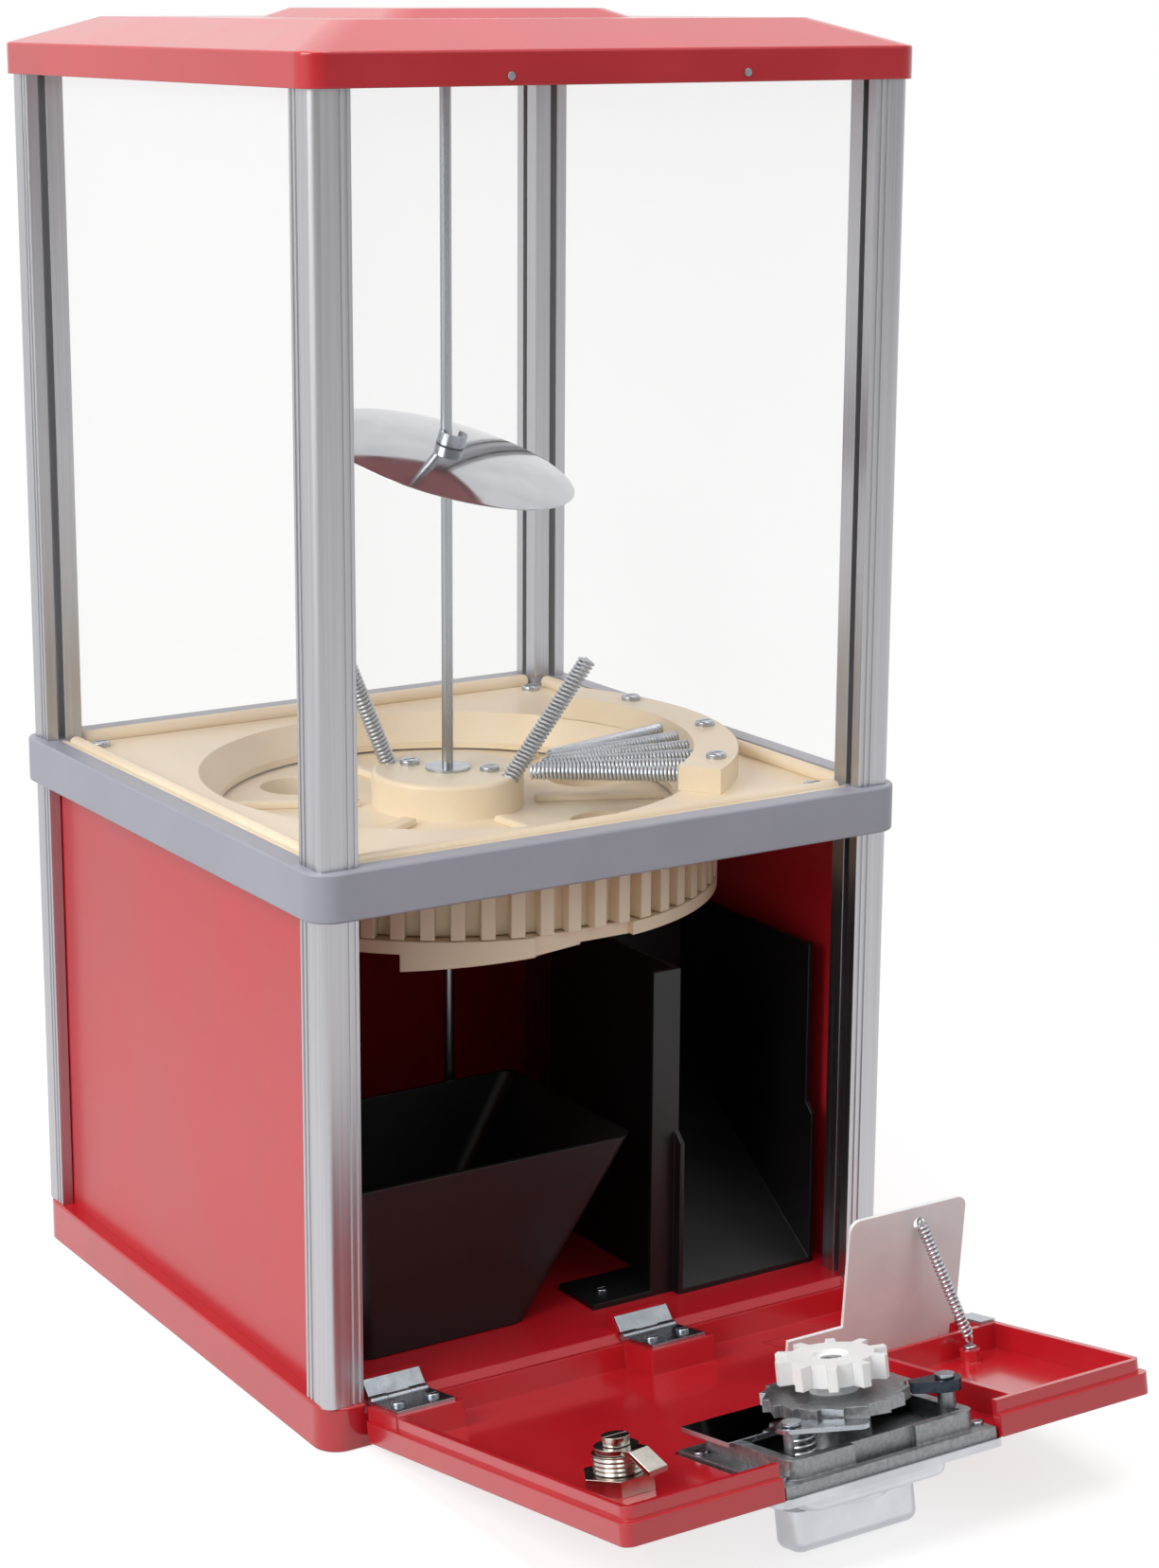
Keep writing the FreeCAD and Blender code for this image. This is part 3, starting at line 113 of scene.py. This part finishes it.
# A Mix node has one set of sockets for each kind of value. These are the numbers of its colour sockets.
MIX_A = 6
MIX_B = 7
MIX_RESULT = 2
# How strongly the bumps show, and how many rays look for a rounded edge.
GRAIN_STRENGTH = 0.35
CLOUD_STRENGTH = 0.25
EDGE_SAMPLES = 4
print("red chip in linear:", [round(v, 3) for v in linear("#C01F28")])

# %% [markdown]
# ## Moulded plastic and painted sheet
# The red pieces are glossy ABS with a faint orange peel, so the studio shows in them as a soft veil.
# The cream pieces are ABS too, thick and a little waxy. Black ABS has a fine spark-eroded grain.
# All share one recipe: two near shades mixed by a wide noise, a roughness that wanders, a fine bump, and
# a rounded shading normal at sharp edges, because a moulded edge always catches a thin line of light.

# %% Moulded plastics


def moulded(name, shades, patch_mm, rough, grain_mm, grain_depth_mm, edge_mm, **sockets):
    """A moulded or painted plastic, mottled at patch_mm and grained at grain_mm."""
    material, tree, shader = new_finish(name, **sockets)
    place = add_node(tree, "ShaderNodeTexCoord").outputs["Object"]
    patch = add_node(tree, "ShaderNodeTexNoise", {"Scale": per_metre(patch_mm), "Detail": 3.0},
                     {"Vector": place})
    share = add_node(tree, "ShaderNodeMapRange", {"From Min": NOISE_LOW, "From Max": NOISE_HIGH},
                     {"Value": patch.outputs["Fac"]}).outputs["Result"]
    tone = add_node(tree, "ShaderNodeMix",
                    {"data_type": "RGBA", MIX_A: linear(shades[0]), MIX_B: linear(shades[1])},
                    {"Factor": share})
    tree.links.new(tone.outputs[MIX_RESULT], shader.inputs["Base Color"])
    wander = add_node(tree, "ShaderNodeMapRange", {"To Min": rough[0], "To Max": rough[1]}, {"Value": share})
    tree.links.new(wander.outputs["Result"], shader.inputs["Roughness"])
    grain = add_node(tree, "ShaderNodeTexNoise", {"Scale": per_metre(grain_mm), "Detail": 2.0},
                     {"Vector": place})
    edge = add_node(tree, "ShaderNodeBevel", {"samples": EDGE_SAMPLES, "Radius": edge_mm * MM})
    bump = add_node(tree, "ShaderNodeBump", {"Strength": GRAIN_STRENGTH, "Distance": grain_depth_mm * MM},
                    {"Height": grain.outputs["Fac"], "Normal": edge.outputs["Normal"]})
    tree.links.new(bump.outputs["Normal"], shader.inputs["Normal"])
    return material


# Gloss ABS, injection moulded: a deep red with a bright, slightly soft reflection.
red_abs = moulded("red_gloss_abs", ("#B81A24", "#C4212B"), patch_mm=60, rough=(0.16, 0.24), grain_mm=1.6,
                  grain_depth_mm=0.03, edge_mm=0.9, IOR=1.54, Coat_Weight=0.4, Coat_Roughness=0.10)
# Enamelled sheet: the same red, rolled flat, with a wider and duller reflection.
red_sheet = moulded("red_enamelled_sheet", ("#BC1E28", "#C6252F"), patch_mm=80, rough=(0.30, 0.40),
                    grain_mm=1.2, grain_depth_mm=0.03, edge_mm=0.4, IOR=1.56, Coat_Weight=0.25,
                    Coat_Roughness=0.25)
# Satin ABS: even mid grey with a fine moulded grain.
grey_abs = moulded("grey_satin_abs", ("#989AA4", "#A1A2AD"), patch_mm=40, rough=(0.34, 0.44), grain_mm=0.9,
                   grain_depth_mm=0.03, edge_mm=0.8, IOR=1.52)
# Cream ABS: thick walls let a little light through, which warms the hollows.
cream_abs = moulded("cream_satin_abs", ("#F0DCBA", "#F6E6CA"), patch_mm=45, rough=(0.30, 0.42), grain_mm=1.4,
                    grain_depth_mm=0.03, edge_mm=0.8, IOR=1.53, Subsurface_Weight=0.12, Subsurface_Scale=0.004)
# Black ABS: spark-eroded mould, so a fine grain and a satin sheen.
black_abs = moulded("black_grained_abs", ("#0A0A0B", "#101012"), patch_mm=50, rough=(0.38, 0.48), grain_mm=0.8,
                    grain_depth_mm=0.05, edge_mm=0.7, IOR=1.52)
# Nylon: milky white, waxy, soft at the edges.
white_nylon = moulded("white_nylon", ("#E9E9EA", "#F3F3F1"), patch_mm=20, rough=(0.34, 0.44), grain_mm=0.9,
                      grain_depth_mm=0.02, edge_mm=0.5, IOR=1.53, Subsurface_Weight=0.15,
                      Subsurface_Scale=0.003)
print("plastics made")

# %% [markdown]
# ## Metals
# The posts are extruded aluminium, anodised satin. The die leaves hairlines along the length, so the noise is
# stretched along the post. Springs, screws, hinges and clips are zinc-plated steel, a little blue and cloudy.
# The handle, disc and face plate are polished chrome, and the lock is nickel plated. The mechanism's body is a
# zinc die casting.

# %% Metals


def metal(name, shades, patch_mm, rough, edge_mm, stretch=(1, 1, 1), bump_mm=0.02, **sockets):
    """A bare or plated metal. Stretch thins the noise along an axis, which draws it out into hairlines."""
    material, tree, shader = new_finish(name, Metallic=1.0, **sockets)
    place = add_node(tree, "ShaderNodeTexCoord").outputs["Object"]
    drawn = add_node(tree, "ShaderNodeMapping", {"Scale": stretch}, {"Vector": place})
    cloud = add_node(tree, "ShaderNodeTexNoise", {"Scale": per_metre(patch_mm), "Detail": 4.0},
                     {"Vector": drawn.outputs["Vector"]})
    share = add_node(tree, "ShaderNodeMapRange", {"From Min": NOISE_LOW, "From Max": NOISE_HIGH},
                     {"Value": cloud.outputs["Fac"]}).outputs["Result"]
    tone = add_node(tree, "ShaderNodeMix",
                    {"data_type": "RGBA", MIX_A: linear(shades[0]), MIX_B: linear(shades[1])},
                    {"Factor": share})
    tree.links.new(tone.outputs[MIX_RESULT], shader.inputs["Base Color"])
    wander = add_node(tree, "ShaderNodeMapRange", {"To Min": rough[0], "To Max": rough[1]}, {"Value": share})
    tree.links.new(wander.outputs["Result"], shader.inputs["Roughness"])
    edge = add_node(tree, "ShaderNodeBevel", {"samples": EDGE_SAMPLES, "Radius": edge_mm * MM})
    bump = add_node(tree, "ShaderNodeBump", {"Strength": CLOUD_STRENGTH, "Distance": bump_mm * MM},
                    {"Height": cloud.outputs["Fac"], "Normal": edge.outputs["Normal"]})
    tree.links.new(bump.outputs["Normal"], shader.inputs["Normal"])
    return material


# Anodised aluminium: hairlines 1 mm wide and many centimetres long, drawn coarser than real ones to show.
anodised = metal("anodised_aluminium", ("#B4B4B8", "#C3C3C7"), patch_mm=1.2, rough=(0.30, 0.40), edge_mm=0.5,
                 stretch=(1, 1, 0.008))
# Zinc plate: bluish silver, cloudy.
zinc = metal("zinc_plated_steel", ("#A9AFB6", "#B9BFC5"), patch_mm=6.0, rough=(0.20, 0.30), edge_mm=0.3,
             bump_mm=0.004)
# Spring wire: zinc plate again, with a lighter base colour as a painted highlight for the light that each turn
# catches.
spring_wire = metal("zinc_plated_wire", ("#BEC4CA", "#CDD2D7"), patch_mm=6.0, rough=(0.32, 0.40), edge_mm=0.1,
                    bump_mm=0.004)
# Drawn rod: bright, with hairlines along it.
drawn_rod = metal("drawn_steel_rod", ("#A0A3A7", "#B4B7BA"), patch_mm=0.8, rough=(0.22, 0.32), edge_mm=0.2,
                  stretch=(1, 1, 0.01))
# Chrome: a near mirror with faint smears.
chrome = metal("polished_chrome", ("#B9BBC1", "#C9CBD0"), patch_mm=18.0, rough=(0.05, 0.11), edge_mm=0.5,
               bump_mm=0.004)
# Nickel: warmer and a little softer than chrome.
nickel = metal("nickel_plate", ("#BDB7AE", "#D5D0C8"), patch_mm=6.0, rough=(0.12, 0.22), edge_mm=0.4)
# Die casting: dull grey with a gritty skin.
die_casting = metal("zinc_die_casting", ("#8B8E90", "#A9ACAE"), patch_mm=1.6, rough=(0.36, 0.52), edge_mm=0.5,
                    bump_mm=0.08)
# Blued steel: the dark pawl.
blued = metal("blued_steel", ("#2A3038", "#454D58"), patch_mm=2.5, rough=(0.24, 0.38), edge_mm=0.3)
print("metals made")

# %% [markdown]
# ## Clear windows
# The windows are thin clear sheet. Real sheet hardly shows: it adds a faint veil, and a reflection at its
# edge.
# A low alpha gives that and, unlike a thick glass shader, lets the studio light in to the hopper.

# %% Clear sheet
clear_sheet, clear_tree, clear_shader = new_finish("clear_acrylic_sheet", IOR=1.49, Alpha=0.045)
clear_place = add_node(clear_tree, "ShaderNodeTexCoord").outputs["Object"]
SMEAR_MM = 90
smear = add_node(clear_tree, "ShaderNodeTexNoise", {"Scale": per_metre(SMEAR_MM), "Detail": 2.0},
                 {"Vector": clear_place})
veil = add_node(clear_tree, "ShaderNodeMix",
                {"data_type": "RGBA", MIX_A: linear("#F6F8FA"), MIX_B: linear("#FEFEFE")},
                {"Factor": smear.outputs["Fac"]})
clear_tree.links.new(veil.outputs[MIX_RESULT], clear_shader.inputs["Base Color"])
polish = add_node(clear_tree, "ShaderNodeMapRange", {"To Min": 0.02, "To Max": 0.08},
                  {"Value": smear.outputs["Fac"]})
clear_tree.links.new(polish.outputs["Result"], clear_shader.inputs["Roughness"])
print("clear sheet made")

# %% [markdown]
# ## Giving each piece its finish
# The record names a material slot for each piece. Most slots have one finish, and a few pieces differ from
# their slot, such as the blued pawl and the nickel lock.

# %% Finishes on the pieces
slot_finish = {"red_plastic": red_abs, "grey_band": grey_abs, "cream_plastic": cream_abs,
               "post_aluminium": anodised, "clear_window": clear_sheet, "zinc_steel": zinc,
               "bright_chrome": chrome, "black_plastic": black_abs, "die_cast": die_casting,
               "white_plastic": white_nylon}
own_finish = {"panel_left": red_sheet, "panel_right": red_sheet, "panel_rear": red_sheet,
              "centre_rod": drawn_rod, "pawl": blued, "lock_barrel": nickel, "lock_nut": nickel,
              "lock_cam": nickel, "lock_screw": nickel, "base_hinge_leaves": zinc, "door_hinge_leaves": zinc}
slot_of = {part["node"]: part["material_slot"] for part in frame["record"]["subparts"]}
for name, node in nodes.items():
    finish = own_finish.get(name, slot_finish[slot_of[name]])
    node.data.materials.clear()
    node.data.materials.append(finish)
print("finished:", len(slot_of), "pieces")

# %% [markdown]
# ## Springs of wire
# A close-wound spring is one wire in a helix. By hand, a small circle is the wire's section, and the Screw
# modifier winds it round an axis and lifts it by one pitch each turn. Each spring is wound at the origin,
# stood along its own line, and joined with its fellows into one piece that stands for the ridged tubes of
# the frame.

# %% Spring winding
WIRE_SIDES = 8
STEPS_PER_TURN = 18
WELD = 1e-6
SMOOTH_ANGLE = math.radians(40)


def choose(*pieces):
    """Only these objects are selected, and the first is active."""
    bpy.ops.object.select_all(action="DESELECT")
    for piece in pieces:
        piece.select_set(True)
    bpy.context.view_layer.objects.active = pieces[0]


def wind(wire_mm, outer_mm, pitch_mm, start, end):
    """One spring from start to end, given in metres. The wire and the outside are given as radii."""
    line = Vector(end) - Vector(start)
    mean = (outer_mm - wire_mm) * MM
    turns = max(2, round((line.length - 2 * wire_mm * MM) / (pitch_mm * MM)))
    bpy.ops.object.select_all(action="DESELECT")
    bpy.ops.mesh.primitive_circle_add(vertices=WIRE_SIDES, radius=wire_mm * MM,
                                      location=(mean, 0, wire_mm * MM), rotation=(math.pi / 2, 0, 0))
    spring = bpy.context.object
    bpy.ops.object.transform_apply()
    screw = spring.modifiers.new("winding", "SCREW")
    screw.axis = "Z"
    screw.screw_offset = (line.length - 2 * wire_mm * MM) / turns
    screw.iterations = turns
    screw.steps = STEPS_PER_TURN
    screw.render_steps = STEPS_PER_TURN
    bpy.ops.object.modifier_apply(modifier=screw.name)
    bpy.ops.object.mode_set(mode="EDIT")
    bpy.ops.mesh.select_all(action="SELECT")
    bpy.ops.mesh.remove_doubles(threshold=WELD)
    bpy.ops.mesh.fill_holes(sides=WIRE_SIDES)
    bpy.ops.mesh.select_all(action="SELECT")
    bpy.ops.mesh.normals_make_consistent(inside=False)
    bpy.ops.object.mode_set(mode="OBJECT")
    stand = line.to_track_quat("Z", "Y").to_matrix().to_4x4()
    spring.matrix_world = Matrix.Translation(Vector(start)) @ stand
    bpy.ops.object.transform_apply()
    return spring


def finish_piece(pieces, name, finish, body, slot, *replaced):
    """Joins what was modelled into one named piece that rides on a body and may stand for nodes."""
    choose(*pieces)
    if len(pieces) > 1:
        bpy.ops.object.join()
    piece = bpy.context.object
    piece.name = name
    piece.data.name = name
    piece.data.materials.clear()
    piece.data.materials.append(finish)
    bpy.ops.object.shade_smooth_by_angle(angle=SMOOTH_ANGLE)
    if body:
        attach(piece, body)
    if replaced:
        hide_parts(*replaced)
    print(name, len(piece.data.polygons), "faces")
    return piece


# %% Fan of springs over the hopper
FAN_COUNT = 6
FAN_HEIGHT = 229.7
FAN_RINGS = (43.0, 106.0)
FAN_INNER = (-70.0, -32.0)
FAN_OUTER = (-49.0, -3.0)
FAN_OUTSIDE = 3.3
# The wire is drawn thicker and the turns coarser than the real ones, so that they show in a picture.
FAN_WIRE = 0.68
COIL_PITCH = 1.6


def ring_point(radius_mm, degrees, height_mm):
    """A point on a circle round the rod, in metres."""
    turn = math.radians(degrees)
    return Vector((radius_mm * math.cos(turn), radius_mm * math.sin(turn), height_mm)) * MM


fan = []
for i in range(FAN_COUNT):
    share = i / (FAN_COUNT - 1)
    inner = ring_point(FAN_RINGS[0], FAN_INNER[0] + share * (FAN_INNER[1] - FAN_INNER[0]), FAN_HEIGHT)
    outer = ring_point(FAN_RINGS[1], FAN_OUTER[0] + share * (FAN_OUTER[1] - FAN_OUTER[0]), FAN_HEIGHT)
    fan.append(wind(FAN_WIRE, FAN_OUTSIDE, COIL_PITCH, inner, outer))
finish_piece(fan, "wiper_spring_coils", spring_wire, "cabinet", "zinc_steel", "wiper_springs")

# %% Agitator springs on the hub
HUB_TOP = 224.5
AGITATOR_OUTSIDE = 3.8
AGITATOR_LENGTH = 63.0
AGITATOR_WIRE = 0.75
AGITATOR_PITCH = 1.8
AGITATOR_FEET = ((14.0, -24.0), (-14.5, 22.5))
AGITATOR_LEANS = ((0.58, -0.10, 0.81), (-0.35, 0.10, 0.93))
agitators = []
for (x, y), lean in zip(AGITATOR_FEET, AGITATOR_LEANS):
    foot = Vector((x, y, HUB_TOP - AGITATOR_OUTSIDE)) * MM
    tip = foot + Vector(lean).normalized() * AGITATOR_LENGTH * MM
    agitators.append(wind(AGITATOR_WIRE, AGITATOR_OUTSIDE, AGITATOR_PITCH, foot, tip))
finish_piece(agitators, "agitator_spring_coils", spring_wire, "wheel", "zinc_steel", "agitator_springs")

# %% Springs on the door
HINGE = Vector((0, -131.3, 17.2))
DOOR_TILT = math.radians(-11.0)
AXIS_HEIGHT = 14.0


def door_point(x_mm, reach_mm, height_mm):
    """A place on the open door: across, out from the hinge, and above its outer face, as a point in metres."""
    local = Vector((x_mm, -reach_mm, height_mm - AXIS_HEIGHT))
    return (HINGE + Matrix.Rotation(DOOR_TILT, 3, "X") @ local) * MM


FLAP_SPRING_ENDS = ((83.0, 96.98, 57.93), (94.0, 106.0, 12.1))
FLAP_SPRING_OUTSIDE = 2.4
FLAP_SPRING_WIRE = 0.65
FLAP_SPRING_PITCH = 1.7
LOOP_RADIUS = 2.0
LOOP_WIRE = 0.45
flap_spring = wind(FLAP_SPRING_WIRE, FLAP_SPRING_OUTSIDE, FLAP_SPRING_PITCH,
                   *[door_point(*end) for end in FLAP_SPRING_ENDS])
flap_parts = [flap_spring]
for end in FLAP_SPRING_ENDS:
    bpy.ops.object.select_all(action="DESELECT")
    bpy.ops.mesh.primitive_torus_add(major_radius=LOOP_RADIUS * MM, minor_radius=LOOP_WIRE * MM,
                                     major_segments=24, minor_segments=WIRE_SIDES,
                                     location=door_point(*end), rotation=(0, math.pi / 2, 0))
    bpy.ops.object.transform_apply()
    flap_parts.append(bpy.context.object)
flap_coil = finish_piece(flap_parts, "flap_spring_coil", spring_wire, None, "zinc_steel", "flap_spring")
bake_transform(flap_coil)
LEVER_SPRING = (-31.0, 166.0)
LEVER_SPRING_SPAN = (4.0, 17.4)
LEVER_SPRING_OUTSIDE = 5.6
LEVER_SPRING_WIRE = 0.7
LEVER_SPRING_PITCH = 2.2
lever_spring = wind(LEVER_SPRING_WIRE, LEVER_SPRING_OUTSIDE, LEVER_SPRING_PITCH,
                    *[door_point(*LEVER_SPRING, height) for height in LEVER_SPRING_SPAN])
finish_piece([lever_spring], "lever_spring_coil", spring_wire, "door", "zinc_steel", "lever_spring")
for made, node in (("flap_spring_coil", "flap_spring"), ("lever_spring_coil", "lever_spring")):
    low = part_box(node)[0]
    made_low = [min(v.co[i] for v in bpy.data.objects[made].data.vertices) for i in range(3)]
    print(made, "starts off its node by mm", [round((a - b) / MM, 2) for a, b in zip(made_low, low)])

# %% [markdown]
# ## Moulded trim in the hopper
# A rounded bead runs along each window, where the hopper floor meets the sheet. The bead is a thin rod whose
# ends are bevelled round. Low ribs stiffen the wheel between its pockets. A rib is a block, drawn in at its top
# and bevelled all over, as a mould with draft would leave it. Each is modelled once and copied round the rod.

# %% Copies round the rod


def copies_round(piece, count):
    """The piece and its copies, each with its own mesh, evenly spaced round the rod."""
    copies = [piece]
    for i in range(1, count):
        choose(piece)
        bpy.ops.object.duplicate(linked=False)
        copy = bpy.context.object
        copy.rotation_euler.z = i * 2 * math.pi / count
        bpy.ops.object.transform_apply()
        copies.append(copy)
    return copies


# %% Beads along the windows
BEAD_COUNT = 4
BEAD_PLACE = 119.4
BEAD_LENGTH = 226.0
BEAD_RADIUS = 3.0
BEAD_SIDES = 20
BEAD_SUNK = 0.3
BEAD_END_ROUND = 0.6
BEAD_END_ANGLE = math.radians(60)
FLOOR_TOP = 225.5
bpy.ops.object.select_all(action="DESELECT")
bead_height = FLOOR_TOP + BEAD_RADIUS * (1 - BEAD_SUNK)
bpy.ops.mesh.primitive_cylinder_add(vertices=BEAD_SIDES, radius=BEAD_RADIUS * MM, depth=BEAD_LENGTH * MM,
                                    location=Vector((BEAD_PLACE, 0, bead_height)) * MM,
                                    rotation=(math.pi / 2, 0, 0))
bead = bpy.context.object
bpy.ops.object.transform_apply()
ends = bead.modifiers.new("round_ends", "BEVEL")
ends.width = BEAD_RADIUS * BEAD_END_ROUND * MM
ends.segments = 3
ends.limit_method = "ANGLE"
ends.angle_limit = BEAD_END_ANGLE
bpy.ops.object.modifier_apply(modifier=ends.name)
finish_piece(copies_round(bead, BEAD_COUNT), "window_beads", cream_abs, "cabinet", "cream_plastic")

# %% Ribs on the wheel
RIB_COUNT = 6
RIB_FIRST = -25.0
RIB_SPAN = (36.0, 92.0)
RIB_WIDTH = 7.0
RIB_HEIGHT = 3.2
RIB_SUNK = 0.2
RIB_DRAFT = 0.94
RIB_ROUND = 1.1
DECK_TOP = 209.6
middle = ring_point(sum(RIB_SPAN) / 2, RIB_FIRST, DECK_TOP + RIB_HEIGHT / 2 - RIB_SUNK)
bpy.ops.object.select_all(action="DESELECT")
bpy.ops.mesh.primitive_cube_add(size=1, location=middle, rotation=(0, 0, math.radians(RIB_FIRST)),
                                scale=((RIB_SPAN[1] - RIB_SPAN[0]) * MM, RIB_WIDTH * MM, RIB_HEIGHT * MM))
rib = bpy.context.object
bpy.ops.object.transform_apply()
bpy.ops.object.mode_set(mode="EDIT")
bpy.ops.mesh.select_all(action="DESELECT")
bpy.ops.object.mode_set(mode="OBJECT")
for face in rib.data.polygons:
    face.select = face.normal.z > 0.9
bpy.ops.object.mode_set(mode="EDIT")
bpy.ops.transform.resize(value=(RIB_DRAFT, RIB_DRAFT, 1), center_override=middle)
bpy.ops.object.mode_set(mode="OBJECT")
soft = rib.modifiers.new("draft", "BEVEL")
soft.width = RIB_ROUND * MM
soft.segments = 3
bpy.ops.object.modifier_apply(modifier=soft.name)
finish_piece(copies_round(rib, RIB_COUNT), "wheel_ribs", cream_abs, "wheel", "cream_plastic")

# %% [markdown]
# ## Studio
# The machine stands in a white sweep under large soft lights. The floor shows white to the camera and to
# mirrors, and keeps a soft shadow. The light itself stays at a plain level, so colours come out as written.

# %% Floor
FLOOR_SIZE = 12.0
FLOOR_DROP = 0.0005
FLOOR_GLOW = 0.72
PAPER_GREY = 0.42
SHADOW_NEAR = 0.3
SHADOW_FAR = 0.75
WHITE = (1, 1, 1, 1)
bpy.ops.object.select_all(action="DESELECT")
bpy.ops.mesh.primitive_plane_add(size=FLOOR_SIZE, location=(0, 0, -FLOOR_DROP))
floor = bpy.context.object
floor.name = "studio_floor"
floor_paint = bpy.data.materials.new("white_studio_paper")
floor_paint.use_nodes = True
paper = floor_paint.node_tree
paper.nodes.remove(paper.nodes["Principled BSDF"])
path = add_node(paper, "ShaderNodeLightPath")
seen = add_node(paper, "ShaderNodeMath", {"operation": "MAXIMUM"},
                {0: path.outputs["Is Camera Ray"], 1: path.outputs["Is Glossy Ray"]})
seen = add_node(paper, "ShaderNodeMath", {"operation": "MAXIMUM"},
                {0: seen.outputs[0], 1: path.outputs["Is Transmission Ray"]})
glow = add_node(paper, "ShaderNodeMath", {"operation": "MULTIPLY", 1: FLOOR_GLOW}, {0: seen.outputs[0]})
white = add_node(paper, "ShaderNodeEmission", {"Color": WHITE}, {"Strength": glow.outputs[0]})
matt = add_node(paper, "ShaderNodeBsdfDiffuse", {"Color": (PAPER_GREY, PAPER_GREY, PAPER_GREY, 1)})
both = add_node(paper, "ShaderNodeAddShader", links={0: white.outputs[0], 1: matt.outputs[0]})
# Far from the machine the paper is plain white, so that no horizon shows.
reach = add_node(paper, "ShaderNodeVectorMath", {"operation": "LENGTH"},
                 {0: add_node(paper, "ShaderNodeTexCoord").outputs["Object"]})
far = add_node(paper, "ShaderNodeMapRange", {"From Min": SHADOW_NEAR, "From Max": SHADOW_FAR},
               {"Value": reach.outputs["Value"]})
far = add_node(paper, "ShaderNodeMath", {"operation": "MULTIPLY"},
               {0: far.outputs["Result"], 1: seen.outputs[0]})
plain = add_node(paper, "ShaderNodeEmission", {"Color": WHITE, "Strength": 1.0})
sweep = add_node(paper, "ShaderNodeMixShader",
                 links={0: far.outputs[0], 1: both.outputs[0], 2: plain.outputs[0]})
paper.links.new(sweep.outputs[0], paper.nodes["Material Output"].inputs["Surface"])
floor.data.materials.append(floor_paint)
print("floor", FLOOR_SIZE, "m")

# %% World
ROOM_FRONT = 0.25
ROOM_FILL = 0.34
ROOM_TURNS = (-0.8, 0.2)
world = bpy.data.worlds.new("white_studio")
bpy.context.scene.world = world
world.use_nodes = True
sky = world.node_tree
backdrop = sky.nodes["Background"]
backdrop.inputs["Color"].default_value = WHITE
path = add_node(sky, "ShaderNodeLightPath")
seen = add_node(sky, "ShaderNodeMath", {"operation": "MAXIMUM"},
                {0: path.outputs["Is Camera Ray"], 1: path.outputs["Is Glossy Ray"]})
seen = add_node(sky, "ShaderNodeMath", {"operation": "MAXIMUM"},
                {0: seen.outputs[0], 1: path.outputs["Is Transmission Ray"]})
# Mirrors see white behind the machine and a dimmer room in front of it, which gives metal its contrast.
heading = add_node(sky, "ShaderNodeSeparateXYZ",
                   links={"Vector": add_node(sky, "ShaderNodeTexCoord").outputs["Generated"]})
room = add_node(sky, "ShaderNodeMapRange",
                {"From Min": ROOM_TURNS[0], "From Max": ROOM_TURNS[1], "To Min": ROOM_FRONT, "To Max": 1.0},
                {"Value": heading.outputs["Y"]})
shown = add_node(sky, "ShaderNodeMath", {"operation": "MAXIMUM"},
                 {0: room.outputs["Result"], 1: path.outputs["Is Camera Ray"]})
level = add_node(sky, "ShaderNodeMix", {"A": ROOM_FILL},
                 {"Factor": seen.outputs[0], "B": shown.outputs[0]})
sky.links.new(level.outputs[0], backdrop.inputs["Strength"])
print("world ready")

# %% Soft lights


def softbox(name, place, aim, size, watts):
    """A square soft light that looks at a point."""
    bpy.ops.object.light_add(type="AREA", location=place)
    lamp = bpy.context.object
    lamp.name = name
    lamp.data.size = size
    lamp.data.energy = watts
    lamp.rotation_euler = (Vector(aim) - Vector(place)).to_track_quat("-Z", "Y").to_euler()
    return lamp


AIM = (0, 0, 0.25)
softbox("key_left", (-1.8, -0.3, 1.3), AIM, size=1.4, watts=34)
softbox("fill_front", (0.9, -1.9, 1.5), AIM, size=1.4, watts=6)
softbox("top", (0, -0.3, 2.2), AIM, size=1.6, watts=24)
print("lights ready")

# %% Camera
# The camera stands where the photograph was taken from. The photograph is a crop, so the lens is shifted.
EYE = (-0.65353, -1.1126, 0.54067)
YAW = math.radians(31.33)
PITCH = math.radians(13.04)
SENSOR = 36.0
LENS = 72.73
SHIFT = (0.0533, -0.0357)
NEAREST = 0.01
bpy.ops.object.camera_add(location=EYE)
camera = bpy.context.object
camera.name = "studio_camera"
look = Vector((math.sin(YAW) * math.cos(PITCH), math.cos(YAW) * math.cos(PITCH), -math.sin(PITCH)))
camera.rotation_euler = look.to_track_quat("-Z", "Y").to_euler()
camera.data.sensor_width = SENSOR
camera.data.lens = LENS
camera.data.shift_x, camera.data.shift_y = SHIFT
camera.data.clip_start = NEAREST
bpy.context.scene.camera = camera
bpy.context.scene.view_settings.view_transform = "Standard"
print("camera at", EYE)
